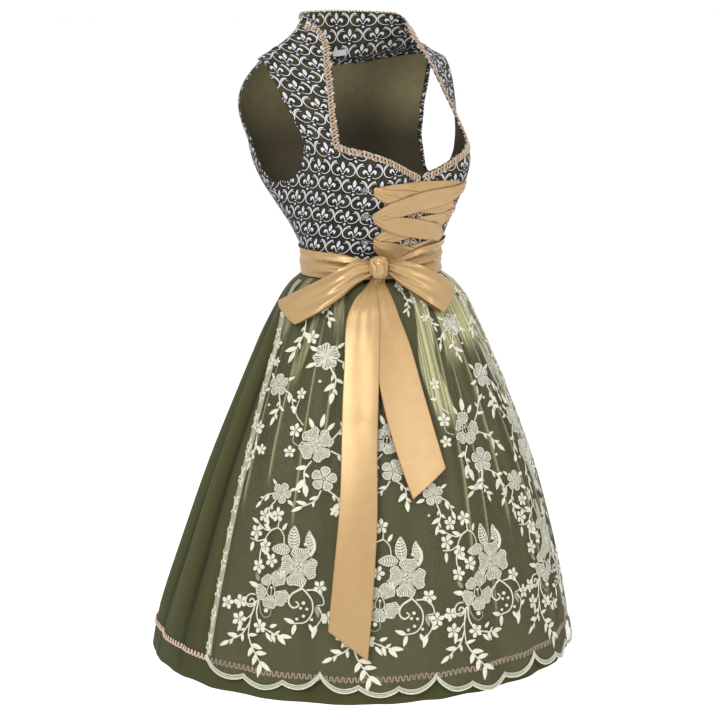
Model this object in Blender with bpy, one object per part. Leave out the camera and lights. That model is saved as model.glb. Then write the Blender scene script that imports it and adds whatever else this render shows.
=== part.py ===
"""A dirndl dress on its own worn form: printed bodice, lacing, skirt, lace apron, sash and bow.

Metres, +Z up. The front faces -Y and the wearer's right is -X. The origin is midway between the
places where the two shoulder straps rest. Angles go round the body from the front: 0 is the centre
front, 90 the side and 180 the centre back, negative on the wearer's right.
"""

import math

import bmesh
import bpy
import numpy as np

# ---------------------------------------------------------------- driving sizes
CLOTH = 0.0015            # wall of the bodice and the skirt
SEAM = 0.0003             # gap between two sewn pieces
LAID = 0.0006             # gap under a piece that lies on a panel
LINING_WALL = 0.0010
COLLAR_WALL = 0.0025      # two layers of the print with a stiffener between them
BRAID_WIDTH = 0.012
BRAID_WALL = 0.0012
WAIST = -0.345            # height of the waist seam
CHEST = -0.130            # above this height the body is lofted up to the shoulder line
SIDE_SEAM = 107.0         # degrees
SKIRT_SEAM = 101.25       # degrees
SKIRT_CENTRE = -0.050     # y of the skirt's axis
HEM_FRONT = -0.968
HEM_BACK = -0.979
SKIRT_STEP = 3.75         # degrees between the skirt's upright lines
SKIRT_FOLDS = 23
WAIST_GATHERS = 32
APRON_WALL = 0.0010
SCALLOP = 11.25           # degrees of one scallop of the apron's hem, in groups of three
APRON_HALF = 7.5 * SCALLOP
RIBBON_WALL = 0.0010
HOOK_ANGLE = 36.5         # degrees
HOOK_LEVELS = (-0.200, -0.242, -0.284)
HOOK_STANDS = (-0.0006, 0.0000, 0.0002)   # each hook's underside off the bodice's smooth form
HOOK_SPREAD = 0.0075      # how far above or below a hook's middle each ribbon end lies
LACING_UNDER = 0.0029     # distance of the lower and the upper ribbon off the bodice
LACING_OVER = 0.0046
KNOT_ANGLE = -26.0
SASH_FRONT = 0.0085       # the sash's outer face off the bodice, in front

# Level rings of the torso: radii about the centre at named angles round the body.
TORSO_ANGLES = (0, 35, 60, 90, 122, 180)
TORSO_COLUMNS = ("height", "centre", "front", "bust", "bust_side", "side", "blade", "back")
TORSO_RINGS = (
    (-0.345, -0.050, 0.098, 0.105, 0.112, 0.118, 0.109, 0.097),
    (-0.315, -0.050, 0.098, 0.105, 0.112, 0.118, 0.110, 0.097),
    (-0.280, -0.050, 0.108, 0.119, 0.122, 0.125, 0.124, 0.109),
    (-0.235, -0.050, 0.125, 0.141, 0.137, 0.139, 0.152, 0.130),
    (-0.195, -0.050, 0.136, 0.158, 0.150, 0.149, 0.177, 0.146),
    (-0.160, -0.050, 0.138, 0.164, 0.157, 0.154, 0.191, 0.154),
    (-0.130, -0.050, 0.130, 0.153, 0.154, 0.158, 0.197, 0.156),
)
# The line over the shoulders and round the neck base that the upper torso rises to. Crown is how
# far the rise bulges, and swell pushes the middle of it outwards.
TOP_COLUMNS = ("angle", "x", "y", "z", "crown", "swell")
TOP_LINE = (
    (0, 0.060, 0.002, 0.066, 0.20, 0.000),
    (40, 0.095, 0.002, 0.066, 0.20, 0.000),
    (48, 0.107, 0.002, 0.046, 0.20, 0.000),
    (57, 0.122, 0.002, 0.032, 0.20, 0.000),
    (70, 0.149, 0.002, 0.015, 0.25, 0.006),
    (90, 0.180, 0.002, 0.000, 0.70, 0.014),
    (103, 0.160, 0.002, 0.010, 1.00, 0.030),
    (115, 0.141, 0.002, 0.019, 1.05, 0.034),
    (130, 0.114, 0.022, 0.012, 0.98, 0.024),
    (155, 0.062, 0.046, 0.000, 0.70, 0.008),
    (180, 0.000, 0.053, -0.006, 0.60, 0.004),
)
NECK_POINT = 115.0        # degrees: where the shoulder seam meets the collar's seam
# The collar's upper edge.
RIM_COLUMNS = ("angle", "x", "y", "z")
RIM_LINE = (
    (115, 0.095, 0.002, 0.066),
    (130, 0.082, 0.024, 0.068),
    (155, 0.046, 0.043, 0.070),
    (180, 0.000, 0.049, 0.071),
)
FRONT_LINES = 13          # upright lines of a front panel
COLLAR_RISES = (0.0, 0.4, 0.8, 1.0)
# The two long edges of a front panel, from the waist up to the shoulder seam.
FRONT_COLUMNS = ("rise", "inner_angle", "inner_level", "outer_angle", "outer_level")
FRONT_EDGES = (
    (0.00, 0.45, -0.345, 107.0, -0.345),   # waist
    (0.07, 0.45, -0.320, 107.0, -0.320),
    (0.14, 0.45, -0.295, 107.0, -0.295),
    (0.22, 0.50, -0.265, 107.0, -0.265),
    (0.31, 0.60, -0.225, 107.0, -0.232),
    (0.40, 1.10, -0.182, 107.0, -0.199),   # point of the neckline, underarm
    (0.45, 12.0, -0.168, 93.0, -0.190),
    (0.51, 25.0, -0.151, 83.0, -0.172),
    (0.57, 38.0, -0.139, 78.5, -0.145),
    (0.65, 53.0, -0.128, 77.2, -0.112),    # corner of the neckline
    (0.74, 49.5, -0.098, 78.5, -0.082),
    (0.82, 44.5, -0.070, 80.5, -0.056),
    (0.89, 38.0, -0.045, 83.0, -0.034),
    (0.95, 30.5, -0.022, 86.0, -0.014),
    (1.00, 38.0, 0.000, 90.0, 0.000),      # shoulder seam
)
# The back's armhole edge, and the height of the same row at the centre back.
BACK_COLUMNS = ("rise", "outer_angle", "outer_level", "centre_level")
BACK_EDGES = (
    (0.00, 107.0, -0.345, -0.345),
    (0.07, 107.0, -0.320, -0.320),
    (0.14, 107.0, -0.295, -0.295),
    (0.22, 107.0, -0.265, -0.266),
    (0.31, 107.0, -0.232, -0.235),
    (0.40, 107.0, -0.199, -0.205),
    (0.48, 111.0, -0.188, -0.175),
    (0.58, 115.0, -0.162, -0.140),
    (0.68, 117.5, -0.130, -0.105),
    (0.78, 117.5, -0.095, -0.070),
    (0.88, 114.0, -0.052, -0.038),
    (0.95, 107.5, -0.020, -0.015),
    (1.00, 90.0, 0.000, 0.000),
)
# Level rings of the skirt, without its folds, and how deep its folds and gathers are there.
SKIRT_ANGLES = (0, 35, 60, 90, 130, 180)
SKIRT_COLUMNS = ("height", "front", "hip_front", "front_side", "side", "back_side", "back",
                 "fold", "gather")
SKIRT_RINGS = (
    (-0.978, 0.322, 0.330, 0.336, 0.352, 0.368, 0.378, 0.0095, 0.0000),
    (-0.914, 0.312, 0.320, 0.326, 0.340, 0.354, 0.362, 0.0088, 0.0000),
    (-0.787, 0.282, 0.290, 0.295, 0.302, 0.309, 0.316, 0.0076, 0.0000),
    (-0.660, 0.246, 0.253, 0.256, 0.260, 0.262, 0.264, 0.0062, 0.0000),
    (-0.540, 0.200, 0.207, 0.210, 0.213, 0.212, 0.210, 0.0048, 0.0003),
    (-0.460, 0.166, 0.173, 0.176, 0.178, 0.178, 0.174, 0.0036, 0.0008),
    (-0.400, 0.140, 0.147, 0.151, 0.154, 0.152, 0.148, 0.0022, 0.0016),
    (-0.380, 0.131, 0.138, 0.143, 0.146, 0.142, 0.137, 0.0016, 0.0022),
    (-0.362, 0.117, 0.124, 0.130, 0.135, 0.129, 0.123, 0.0008, 0.0024),
    (-0.345, 0.098, 0.105, 0.112, 0.118, 0.109, 0.097, 0.0000, 0.0000),
)
SKIRT_LEVELS = (WAIST - SEAM, -0.362, -0.385, -0.430, -0.520, -0.650, -0.800, -0.924, -0.937)
# How far the apron stands off the skirt, and how much of the skirt's folds it follows.
APRON_COLUMNS = ("height", "stand", "follow")
APRON_RINGS = (
    (-0.978, 0.0080, 1.00),
    (-0.900, 0.0080, 0.95),
    (-0.787, 0.0100, 0.80),
    (-0.660, 0.0130, 0.60),
    (-0.540, 0.0150, 0.45),
    (-0.430, 0.0140, 0.50),
    (-0.385, 0.0100, 0.80),
    (-0.362, 0.0066, 1.00),
    (-0.347, 0.0020, 1.00),
)
APRON_LEVELS = (-0.347, -0.360, -0.400, -0.460, -0.560, -0.680, -0.800, -0.900)
APRON_EDGE_COLUMNS = ("height", "angle")
APRON_EDGE = ((-0.980, 84.375), (-0.850, 85.0), (-0.600, 86.5), (-0.450, 90.0), (-0.347, 99.0))
# The sash's upper and lower edges round the waist.
SASH_COLUMNS = ("angle", "top", "bottom", "stand")
SASH_EDGES = (
    (-180, -0.296, -0.3445, 0.0024), (-107, -0.301, -0.3445, 0.0024),
    (-60, -0.304, -0.3445, 0.0030), (-36, -0.316, -0.3440, 0.0066),
    (-26, -0.317, -0.3440, 0.0070), (-16, -0.315, -0.3440, 0.0070),
    (2, -0.301, -0.3440, 0.0070), (20, -0.292, -0.3440, 0.0070),
    (52, -0.288, -0.3445, 0.0034), (107, -0.291, -0.3445, 0.0024),
    (180, -0.296, -0.3445, 0.0024),
)
# The bow's loops, from the knot to the far fold: the angle, height and radius of the front layer's
# upper and lower edge, and how far behind it the back layer lies.
LOOP_COLUMNS = ("run", "high_angle", "high", "high_radius", "low_angle", "low", "low_radius",
                "open")
LOOP_RIGHT = (
    (0.00, -33.8, -0.3145, 0.1245, -33.8, -0.3345, 0.1245, 0.0030),
    (0.18, -43.2, -0.3110, 0.1270, -44.6, -0.3476, 0.1330, 0.0085),
    (0.40, -53.3, -0.3208, 0.1335, -53.6, -0.3678, 0.1585, 0.0120),
    (0.62, -63.8, -0.3361, 0.1410, -62.5, -0.3876, 0.1755, 0.0120),
    (0.82, -79.0, -0.3582, 0.1570, -69.0, -0.3996, 0.1810, 0.0110),
    (1.00, -94.0, -0.3810, 0.1720, -75.5, -0.4108, 0.1850, 0.0080),
)
LOOP_LEFT = (
    (0.00, -18.0, -0.3145, 0.1245, -18.0, -0.3345, 0.1245, 0.0030),
    (0.15, -13.0, -0.3141, 0.1265, -13.4, -0.3470, 0.1320, 0.0085),
    (0.40, -4.0, -0.3180, 0.1300, -6.5, -0.3640, 0.1470, 0.0130),
    (0.70, 9.0, -0.3310, 0.1380, 0.5, -0.3805, 0.1630, 0.0150),
    (1.00, 27.0, -0.3560, 0.1500, 8.0, -0.3944, 0.1680, 0.0120),
)
# The bow's tails hang from under the knot over the apron: their two edges on the way down.
TAIL_COLUMNS = ("run", "left_angle", "left", "right_angle", "right")
TAIL_LONG = (
    (0.00, -32.5, -0.3350, -24.5, -0.3350),
    (0.03, -36.5, -0.3470, -29.5, -0.3470),
    (0.06, -40.7, -0.3580, -32.0, -0.3560),
    (0.09, -45.0, -0.3714, -31.4, -0.3710),
    (0.14, -48.1, -0.4032, -30.9, -0.3930),
    (0.26, -47.1, -0.4657, -31.7, -0.4500),
    (0.38, -46.5, -0.5250, -32.6, -0.5150),
    (0.50, -45.7, -0.5885, -33.4, -0.5900),
    (0.63, -45.2, -0.6608, -33.6, -0.6750),
    (0.81, -45.9, -0.7558, -34.8, -0.7850),
    (1.00, -46.8, -0.8531, -36.4, -0.8950),
)
TAIL_SHORT = (
    (0.00, -30.0, -0.3350, -22.5, -0.3350),
    (0.05, -31.5, -0.3470, -24.5, -0.3470),
    (0.10, -33.0, -0.3600, -23.2, -0.3600),
    (0.14, -33.6, -0.3720, -21.8, -0.3720),
    (0.21, -34.0, -0.3950, -20.0, -0.3920),
    (0.38, -33.5, -0.4464, -15.5, -0.4464),
    (0.60, -31.0, -0.5120, -12.8, -0.5120),
    (0.80, -27.5, -0.5750, -10.6, -0.5720),
    (1.00, -21.8, -0.6617, -8.8, -0.6217),
)

# name: colour, roughness, metallic
FINISHES = {
    "print": ((0.10, 0.10, 0.06), 0.75, 0.0),
    "lining": ((0.10, 0.085, 0.045), 0.55, 0.0),
    "skirt_satin": ((0.085, 0.09, 0.045), 0.45, 0.0),
    "lace": ((0.55, 0.58, 0.42), 0.8, 0.0),
    "ribbon": ((0.68, 0.42, 0.16), 0.35, 0.0),
    "braid": ((0.62, 0.45, 0.32), 0.8, 0.0),
    "silver": ((0.55, 0.55, 0.56), 0.35, 0.9),
    "label": ((0.85, 0.85, 0.83), 0.8, 0.0),
    "zip": ((0.03, 0.03, 0.025), 0.6, 0.0),
}


# ---------------------------------------------------------------- curves and tables
def curve(xs, ys, x):
    """Monotone cubic through the points (xs, ys): each inner slope is the harmonic mean of its
    two neighbours' rises, or level where they change sign. It is held level past both ends."""
    xs = np.asarray(xs, float)
    ys = np.asarray(ys, float)
    step = np.diff(xs)
    rise = np.diff(ys) / step
    slope = np.zeros(len(xs))
    slope[0], slope[-1] = rise[0], rise[-1]
    same = rise[:-1] * rise[1:] > 0
    near = 2 * step[1:] + step[:-1]
    far = step[1:] + 2 * step[:-1]
    low = near / np.where(same, rise[:-1], 1.0)
    high = far / np.where(same, rise[1:], 1.0)
    slope[1:-1] = np.where(same, (near + far) / (low + high), 0.0)
    x = np.clip(x, xs[0], xs[-1])
    i = np.clip(np.searchsorted(xs, x, side="right") - 1, 0, len(xs) - 2)
    t = (x - xs[i]) / step[i]
    ends = (1 + 2 * t) * (1 - t) ** 2 * ys[i] + t * t * (3 - 2 * t) * ys[i + 1]
    return ends + step[i] * (t * (1 - t) ** 2 * slope[i] + t * t * (t - 1) * slope[i + 1])


def read(table, columns, name, x):
    """The column called name of a table, as a smooth function of its first column."""
    rows = np.array(table, float)
    rows = rows[np.argsort(rows[:, 0])]
    return curve(rows[:, 0], rows[:, columns.index(name)], x)


def around(angles, radii, theta):
    """Smooth curve through radii at the given angles, level at the centre front and back:
    a cubic between neighbours whose slopes are the weighted means of the rises beside them."""
    angles = np.asarray(angles, float)
    turn = np.degrees(np.abs(theta))
    gap = np.diff(angles).reshape((-1,) + (1,) * (radii.ndim - 1))
    rise = np.diff(radii, axis=0) / gap
    slope = np.zeros_like(radii)
    slope[1:-1] = (rise[:-1] * gap[1:] + rise[1:] * gap[:-1]) / (gap[1:] + gap[:-1])
    i = np.clip(np.searchsorted(angles, turn, side="right") - 1, 0, len(angles) - 2)
    step = angles[i + 1] - angles[i]
    t = (turn - angles[i]) / step

    def pick(values, k):
        return np.take_along_axis(values, k[None], 0)[0]

    ends = (1 + 2 * t) * (1 - t) ** 2 * pick(radii, i) + t * t * (3 - 2 * t) * pick(radii, i + 1)
    bend = t * (1 - t) ** 2 * pick(slope, i) + t * t * (t - 1) * pick(slope, i + 1)
    return ends + step * bend


# ---------------------------------------------------------------- the body's form
def torso(theta, level):
    """A point of the bodice's outer face. Below the chest, level is the height and the point lies
    on a ring about the centre. Above it the ring's point rises to the shoulder line: x moves
    evenly, z rises evenly, and y closes in by a mix of a straight line and a round crown."""
    theta, level = np.broadcast_arrays(np.asarray(theta, float), np.asarray(level, float))
    low = np.minimum(level, CHEST)
    names = TORSO_COLUMNS[2:]
    radii = np.stack([read(TORSO_RINGS, TORSO_COLUMNS, name, low) for name in names])
    radius = around(TORSO_ANGLES, radii, theta)
    centre = read(TORSO_RINGS, TORSO_COLUMNS, "centre", low)
    rise = np.clip((level - CHEST) / -CHEST, 0.0, 1.0)
    turn = np.degrees(np.abs(theta))
    top_x, top_y, top_z, crown, swell = (read(TOP_LINE, TOP_COLUMNS, name, turn)
                                         for name in TOP_COLUMNS[1:])
    close = (1 - crown) * (1 - rise) + crown * np.clip(1 - rise * rise, 0, 1) ** 0.4
    push = swell * np.sin(math.pi * rise)
    x = radius * np.sin(theta)
    y = centre - radius * np.cos(theta)
    x = x + (top_x * np.sign(theta) - x) * rise + push * np.sin(theta)
    y = top_y + (y - top_y) * close - push * np.cos(theta)
    return np.stack([x, y, low + (top_z - CHEST) * rise], -1)


def fold_wave(theta):
    """Uneven soft folds round the skirt, from -1 to 1: a cosine whose spacing and depth drift."""
    drift = 0.9 * np.sin(3 * theta + 0.4) + 0.5 * np.sin(5 * theta + 2.0)
    return np.cos(SKIRT_FOLDS * theta + drift) * (0.72 + 0.28 * np.sin(4 * theta + 1.0))


def gather_wave(theta):
    """Small gathers under the waist, from -1 to 1."""
    return np.cos(WAIST_GATHERS * theta + 0.8 * np.sin(4 * theta))


def skirt_radius(theta, height, follow=1.0):
    """Radius of the skirt's outer face about its axis: its ring plus folds and gathers."""
    names = SKIRT_COLUMNS[1:7]
    radii = np.stack([read(SKIRT_RINGS, SKIRT_COLUMNS, name, height) for name in names])
    ring = around(SKIRT_ANGLES, radii, theta)
    fold = read(SKIRT_RINGS, SKIRT_COLUMNS, "fold", height) * fold_wave(theta)
    gather = read(SKIRT_RINGS, SKIRT_COLUMNS, "gather", height) * gather_wave(theta)
    return ring + follow * (fold + gather)


def round_axis(theta, radius, height):
    """The point at this angle, radius and height about the skirt's axis."""
    return np.stack([radius * np.sin(theta), SKIRT_CENTRE - radius * np.cos(theta), height], -1)


def apron_radius(theta, height):
    """Radius of the apron's outer face: the skirt with softer folds, plus how far it stands off,
    with enough added that a softened fold still clears the skirt's own."""
    follow = read(APRON_RINGS, APRON_COLUMNS, "follow", height)
    stand = read(APRON_RINGS, APRON_COLUMNS, "stand", height)
    return skirt_radius(theta, height, follow) + stand


def hip_radius(theta, height):
    """The round form that the bow lies on: just outside the apron's folds, and outside the sash
    above the waist."""
    low = np.minimum(height, -0.347)
    depth = (read(SKIRT_RINGS, SKIRT_COLUMNS, "fold", low)
             + read(SKIRT_RINGS, SKIRT_COLUMNS, "gather", low))
    below = skirt_radius(theta, low, 0.0) + depth + read(APRON_RINGS, APRON_COLUMNS, "stand", low)
    side = torso(theta, np.maximum(height, WAIST))[..., :2] - (0.0, SKIRT_CENTRE)
    return np.maximum(below, np.hypot(side[..., 0], side[..., 1]) + SASH_FRONT) + LAID


# ---------------------------------------------------------------- meshes
def facing_out(grid):
    """Unit normals of a grid of points, pointing away from the body's axis."""
    along, across = np.gradient(grid, axis=0), np.gradient(grid, axis=1)
    normal = np.cross(along, across)
    normal /= np.linalg.norm(normal, axis=-1, keepdims=True) + 1e-12
    axis = np.array([0.0, SKIRT_CENTRE])
    outward = (normal[..., :2] * (grid[..., :2] - axis)).sum() > 0
    return normal if outward else -normal


def shell(name, finish, outer, inner, ring=False):
    """A closed wall between two grids of points: both faces, and a strip along each open edge.
    With ring, the grid's first axis closes on itself. Each square of the grid is split along the
    same diagonal, so that layers made from the same grid stay parallel."""
    rows, columns = outer.shape[:2]
    index = np.arange(rows * columns).reshape(rows, columns)
    if ring:
        index = np.vstack([index, index[:1]])
    a, b, c, d = index[:-1, :-1], index[1:, :-1], index[1:, 1:], index[:-1, 1:]
    halves = np.concatenate([np.stack([a, b, c], -1).reshape(-1, 3),
                             np.stack([a, c, d], -1).reshape(-1, 3)])
    back = rows * columns
    faces = halves.tolist() + (halves[:, ::-1] + back).tolist()
    edges = [index[:, 0][::-1], index[:, -1]]
    if not ring:
        edges += [index[0], index[-1][::-1]]
    for edge in edges:
        faces += np.stack([edge[1:], edge[:-1], edge[:-1] + back, edge[1:] + back], -1).tolist()
    points = np.concatenate([outer.reshape(-1, 3), inner.reshape(-1, 3)])
    return solid(name, finish, points, faces)


def solid(name, finish, points, faces):
    """A mesh object with its faces turned outwards and its own finish."""
    mesh = bpy.data.meshes.new(name)
    mesh.from_pydata(points.tolist(), [], [list(map(int, face)) for face in faces])
    shape = bmesh.new()
    shape.from_mesh(mesh)
    bmesh.ops.recalc_face_normals(shape, faces=shape.faces)
    shape.to_mesh(mesh)
    shape.free()
    mesh.materials.append(material(finish))
    mesh.shade_smooth()
    mesh.set_sharp_from_angle(angle=math.radians(35))
    piece = bpy.data.objects.new(name, mesh)
    bpy.context.scene.collection.objects.link(piece)
    return piece


def wall(name, finish, grid, normal, outside, inside, ring=False):
    """The cloth between two distances from a grid of points, along its normals."""
    return shell(name, finish, grid + normal * outside, grid + normal * inside, ring)


def material(finish):
    """A plain Principled material of the named finish, made once."""
    if finish in bpy.data.materials:
        return bpy.data.materials[finish]
    made = bpy.data.materials.new(finish)
    made.use_nodes = True
    shader = made.node_tree.nodes["Principled BSDF"]
    colour, roughness, metallic = FINISHES[finish]
    shader.inputs["Base Color"].default_value = (*colour, 1.0)
    shader.inputs["Roughness"].default_value = roughness
    shader.inputs["Metallic"].default_value = metallic
    return made


def mirrored(grid):
    """The same points on the other side of the body."""
    return grid * (-1.0, 1.0, 1.0)


def inset(values, left=0.0, right=0.0, low=0.0, high=0.0):
    """The same grid with its outermost lines moved towards their neighbours, by a share of the
    distance: the first and last columns (left, right) and the first and last rows (low, high)."""
    values = values.copy()
    for share, edge, beyond in ((left, 0, 1), (right, -1, -2)):
        values[edge] += (values[beyond] - values[edge]) * share
    for share, edge, beyond in ((low, 0, 1), (high, -1, -2)):
        values[:, edge] += (values[:, beyond] - values[:, edge]) * share
    return values


# ---------------------------------------------------------------- bodice
def lean(theta, steep=0.7):
    """The normal that two pieces share at a seam round the neck base: outwards and upwards."""
    flat = np.stack([np.sin(theta), -np.cos(theta)], -1) * steep
    return np.concatenate([flat, np.full(theta.shape + (1,), math.sqrt(1 - steep**2))], -1)


def ridge_normal(line):
    """Normals along the shoulder seam, square to it and with nothing forwards or backwards."""
    run = np.gradient(line, axis=0)
    normal = np.stack([-run[:, 2], np.zeros(len(run)), run[:, 0]], -1)
    normal /= np.linalg.norm(normal, axis=-1, keepdims=True)
    return np.where(normal[:, 2:3] < 0, -normal, normal)


def rows_of(edges, top=1.0):
    """How far up each row of a panel lies: a row at each line of its table of edges, and one
    halfway between the lines above the underarm. The last row ends at top."""
    marks = np.array([row[0] for row in edges])
    between = (marks[:-1] + marks[1:])[marks[:-1] > 0.5] / 2
    rows = np.sort(np.concatenate([marks, between]))
    return np.append(rows[rows < top], top)


def front_grid(columns):
    """Points and normals of a front panel of the wearer's left, from its inner edge (first
    column) to its outer edge and from the waist (first row) to the shoulder seam. The second
    column lies a braid's width beside the inner edge; the rest are evenly spaced."""
    rise = rows_of(FRONT_EDGES)
    inner_angle, inner_level, outer_angle, outer_level = (
        read(FRONT_EDGES, FRONT_COLUMNS, name, rise) for name in FRONT_COLUMNS[1:])
    inner = np.stack([np.radians(inner_angle), inner_level])
    outer = np.stack([np.radians(outer_angle - 0.14), outer_level])
    run = np.gradient(torso(*inner), axis=0)
    beyond = np.stack(beside(*inner, run, BRAID_WIDTH))
    across = np.linspace(0, 1, columns - 1)[:, None, None]
    theta, level = np.moveaxis(np.concatenate([inner[None],
                                               beyond + (outer - beyond) * across]), 1, 0)
    grid = torso(theta, level)
    normal = facing_out(grid)
    normal[:, -1] = ridge_normal(grid[:, -1])
    return grid + (0.0, -SEAM / 2, 0.0), normal


def back_params(half, rise, start=0.0):
    """Angle and level over the back, from the wearer's right side round to the left."""
    outer_angle, outer_level, centre_level = (
        read(BACK_EDGES, BACK_COLUMNS, name, rise) for name in BACK_COLUMNS[1:])
    across = start + (1 - start) * np.linspace(0, 1, half)[:, None]
    theta = np.radians(outer_angle + 0.08 + (180 - outer_angle - 0.14) * across)
    level = outer_level + (centre_level - outer_level) * across
    theta = np.vstack([-theta, theta[-2::-1]])
    return theta, np.vstack([level, level[-2::-1]])


def seam_row_normals(theta, grid):
    """Normals of the back's top row: along the shoulder seams they are square to the ridge, and
    round the neck base they lean, with a quick change at the neck point."""
    shoulder = ridge_normal(grid)
    neck = lean(theta)
    share = np.clip((np.degrees(np.abs(theta)) - NECK_POINT) / 12 + 0.5, 0, 1)[:, None]
    mixed = shoulder * (1 - share) + neck * share
    return mixed / np.linalg.norm(mixed, axis=-1, keepdims=True)


def back_grid(half):
    """Points and normals of the back panel, kept well behind the shoulder seams just below
    them."""
    theta, level = back_params(half, rows_of(BACK_EDGES))
    grid = torso(theta, level)
    grid[half - 1, :, 0] = 0.0
    grid[:, -3:-1, 1] = np.maximum(grid[:, -3:-1, 1], 0.007)
    normal = facing_out(grid)
    normal[:, -1] = seam_row_normals(theta[:, -1], grid[:, -1])
    return grid + (0.0, SEAM / 2, 0.0), normal


def bodice():
    """The two fronts with their cut-on collar ends, and the back."""
    grid, normal = front_grid(FRONT_LINES)
    wall("bodice_front_left", "print", grid, normal, 0.0, -CLOTH)
    wall("bodice_front_right", "print", mirrored(grid), mirrored(normal), 0.0, -CLOTH)
    grid, normal = back_grid(9)
    wall("bodice_back", "print", grid, normal, 0.0, -CLOTH)


def collar_grid():
    """The stand collar: slightly hollow lines from the neck base's seam up to the rim."""
    turn = np.linspace(NECK_POINT, 180, 12)
    base = np.stack([read(TOP_LINE, TOP_COLUMNS, name, turn) for name in ("x", "y", "z")], -1)
    rim = np.stack([read(RIM_LINE, RIM_COLUMNS, name, turn) for name in ("x", "y", "z")], -1)
    base = base + (0.0, SEAM / 2, 0.0014)
    rim = rim + (0.0, SEAM / 2, 0.0)
    up = np.array(COLLAR_RISES)[None, :, None]
    hollow = -0.005 * np.sin(math.pi * up) * lean(np.radians(turn))[:, None]
    grid = base[:, None] * (1 - up) + rim[:, None] * up + hollow
    grid = np.concatenate([mirrored(grid), grid[-2::-1]])
    normal = facing_out(grid)
    theta = np.radians(np.concatenate([-turn, turn[-2::-1]]))
    normal[:, 0] = lean(theta)
    normal[0] = ridge_normal(grid[0])
    normal[-1] = ridge_normal(grid[-1])
    return grid, normal


def collar():
    """The collar's stand round the back of the neck, its rim's braid, and the bare label."""
    grid, normal = collar_grid()
    wall("collar_back", "print", grid, normal, 0.0, -COLLAR_WALL)
    inside = -COLLAR_WALL - LAID
    middle = len(grid) // 2
    label = grid[middle - 1:middle + 2, :2]
    wall("neck_label", "label", label, normal[middle - 1:middle + 2, :2], inside, inside - 0.001)


def linings():
    """Linings of the fronts and the back, from the panels' own lines moved inwards, short of
    every free edge. The fronts' start a braid's width from the inner edge and end below the
    straps, whose inside is a facing of the print."""
    outside, inside = -CLOTH - LAID, -CLOTH - LAID - LINING_WALL
    rows = int((rows_of(FRONT_EDGES) < 0.72).sum())
    grid, normal = (inset(values[1:, :rows], right=0.12) for values in front_grid(FRONT_LINES))
    wall("lining_front_left", "lining", grid, normal, outside, inside)
    wall("lining_front_right", "lining", mirrored(grid), mirrored(normal), outside, inside)
    grid, normal = (inset(values[:, :-2], 0.15, 0.15) for values in back_grid(9))
    wall("lining_back", "lining", grid, normal, outside, inside)


# ---------------------------------------------------------------- braid and zip
def beside(theta, level, run, width):
    """Angle and level of the points that lie a width beside a line on the torso, square to its
    run: the step is solved from the surface's own two directions."""
    tiny = 1e-4
    here = torso(theta, level)
    by_angle = (torso(theta + tiny, level) - here) / tiny
    by_level = (torso(theta, level - tiny) - here) / -tiny
    normal = np.cross(by_angle, by_level)
    normal /= np.linalg.norm(normal, axis=-1, keepdims=True)
    side = np.cross(run / np.linalg.norm(run, axis=-1, keepdims=True), normal) * width
    a, b, c = ((p * q).sum(-1) for p, q in ((by_angle, by_angle), (by_angle, by_level),
                                            (by_level, by_level)))
    d, e = ((side * p).sum(-1) for p in (by_angle, by_level))
    scale = a * c - b * b
    return theta + (d * c - e * b) / scale, level + (e * a - d * b) / scale


def neck_braid():
    """Braid along each front's inner edge, up the centre front and round the neckline, over the
    panel's first two lines."""
    grid, normal = (inset(values[:2], left=0.04, high=0.3) for values in front_grid(FRONT_LINES))
    wall("braid_neck_left", "braid", grid, normal, LAID + BRAID_WALL, LAID)
    wall("braid_neck_right", "braid", mirrored(grid), mirrored(normal), LAID + BRAID_WALL, LAID)


def collar_braid():
    """Braid round the outside of the collar's rim, short of both ends."""
    grid, normal = (inset(values[:, -2:], 0.4, 0.4) for values in collar_grid())
    normal[0], normal[-1] = normal[1], normal[-2]
    wall("braid_collar", "braid", grid, normal, LAID + BRAID_WALL, LAID)


def front_zip():
    """The zip's tape behind the open centre front, and its slider at the top."""
    half = math.radians(3.4)
    level = np.array((-0.342, -0.320, -0.295, -0.265, -0.225, -0.187))[None, :]
    theta = np.array([-half, 0.0, half])[:, None]
    grid = torso(theta, level + 0 * theta)
    grid[1, :, 0] = 0.0
    normal = facing_out(grid)
    outside = -CLOTH - LAID
    wall("zip_tape", "zip", grid, normal, outside, outside - 0.001)
    middle = torso(0.0, -0.1805)
    width, depth, height = 0.0042, 0.0040, 0.0085
    corners = np.array([(x, y, z) for x in (-0.5, 0.5) for y in (-0.5, 0.5) for z in (-0.5, 0.5)])
    points = corners * (width, depth, height) + middle + (0.0, 0.0045, 0.0)
    faces = [(0, 1, 3, 2), (4, 6, 7, 5), (0, 4, 5, 1), (2, 3, 7, 6), (0, 2, 6, 4), (1, 5, 7, 3)]
    solid("zip_slider", "zip", points, faces)


# ---------------------------------------------------------------- lacing
def ribbon_over(name, start, end, width, stand, ends=0.36):
    """A ribbon across the front from one hook to another: angle and level run straight between
    them, and its width narrows towards both ends."""
    along = np.linspace(0, 1, 13)[:, None]
    across = np.linspace(-1, 1, 3)[None, :]
    theta = np.radians(start[0] + (end[0] - start[0]) * along)
    half = width / 2 * (ends + (1 - ends) * np.sin(math.pi * along) ** 0.45)
    level = start[1] + (end[1] - start[1]) * along + half * across
    grid = torso(theta + 0 * across, level)
    wall(name, "ribbon", grid, facing_out(grid), stand + RIBBON_WALL, stand)


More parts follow.
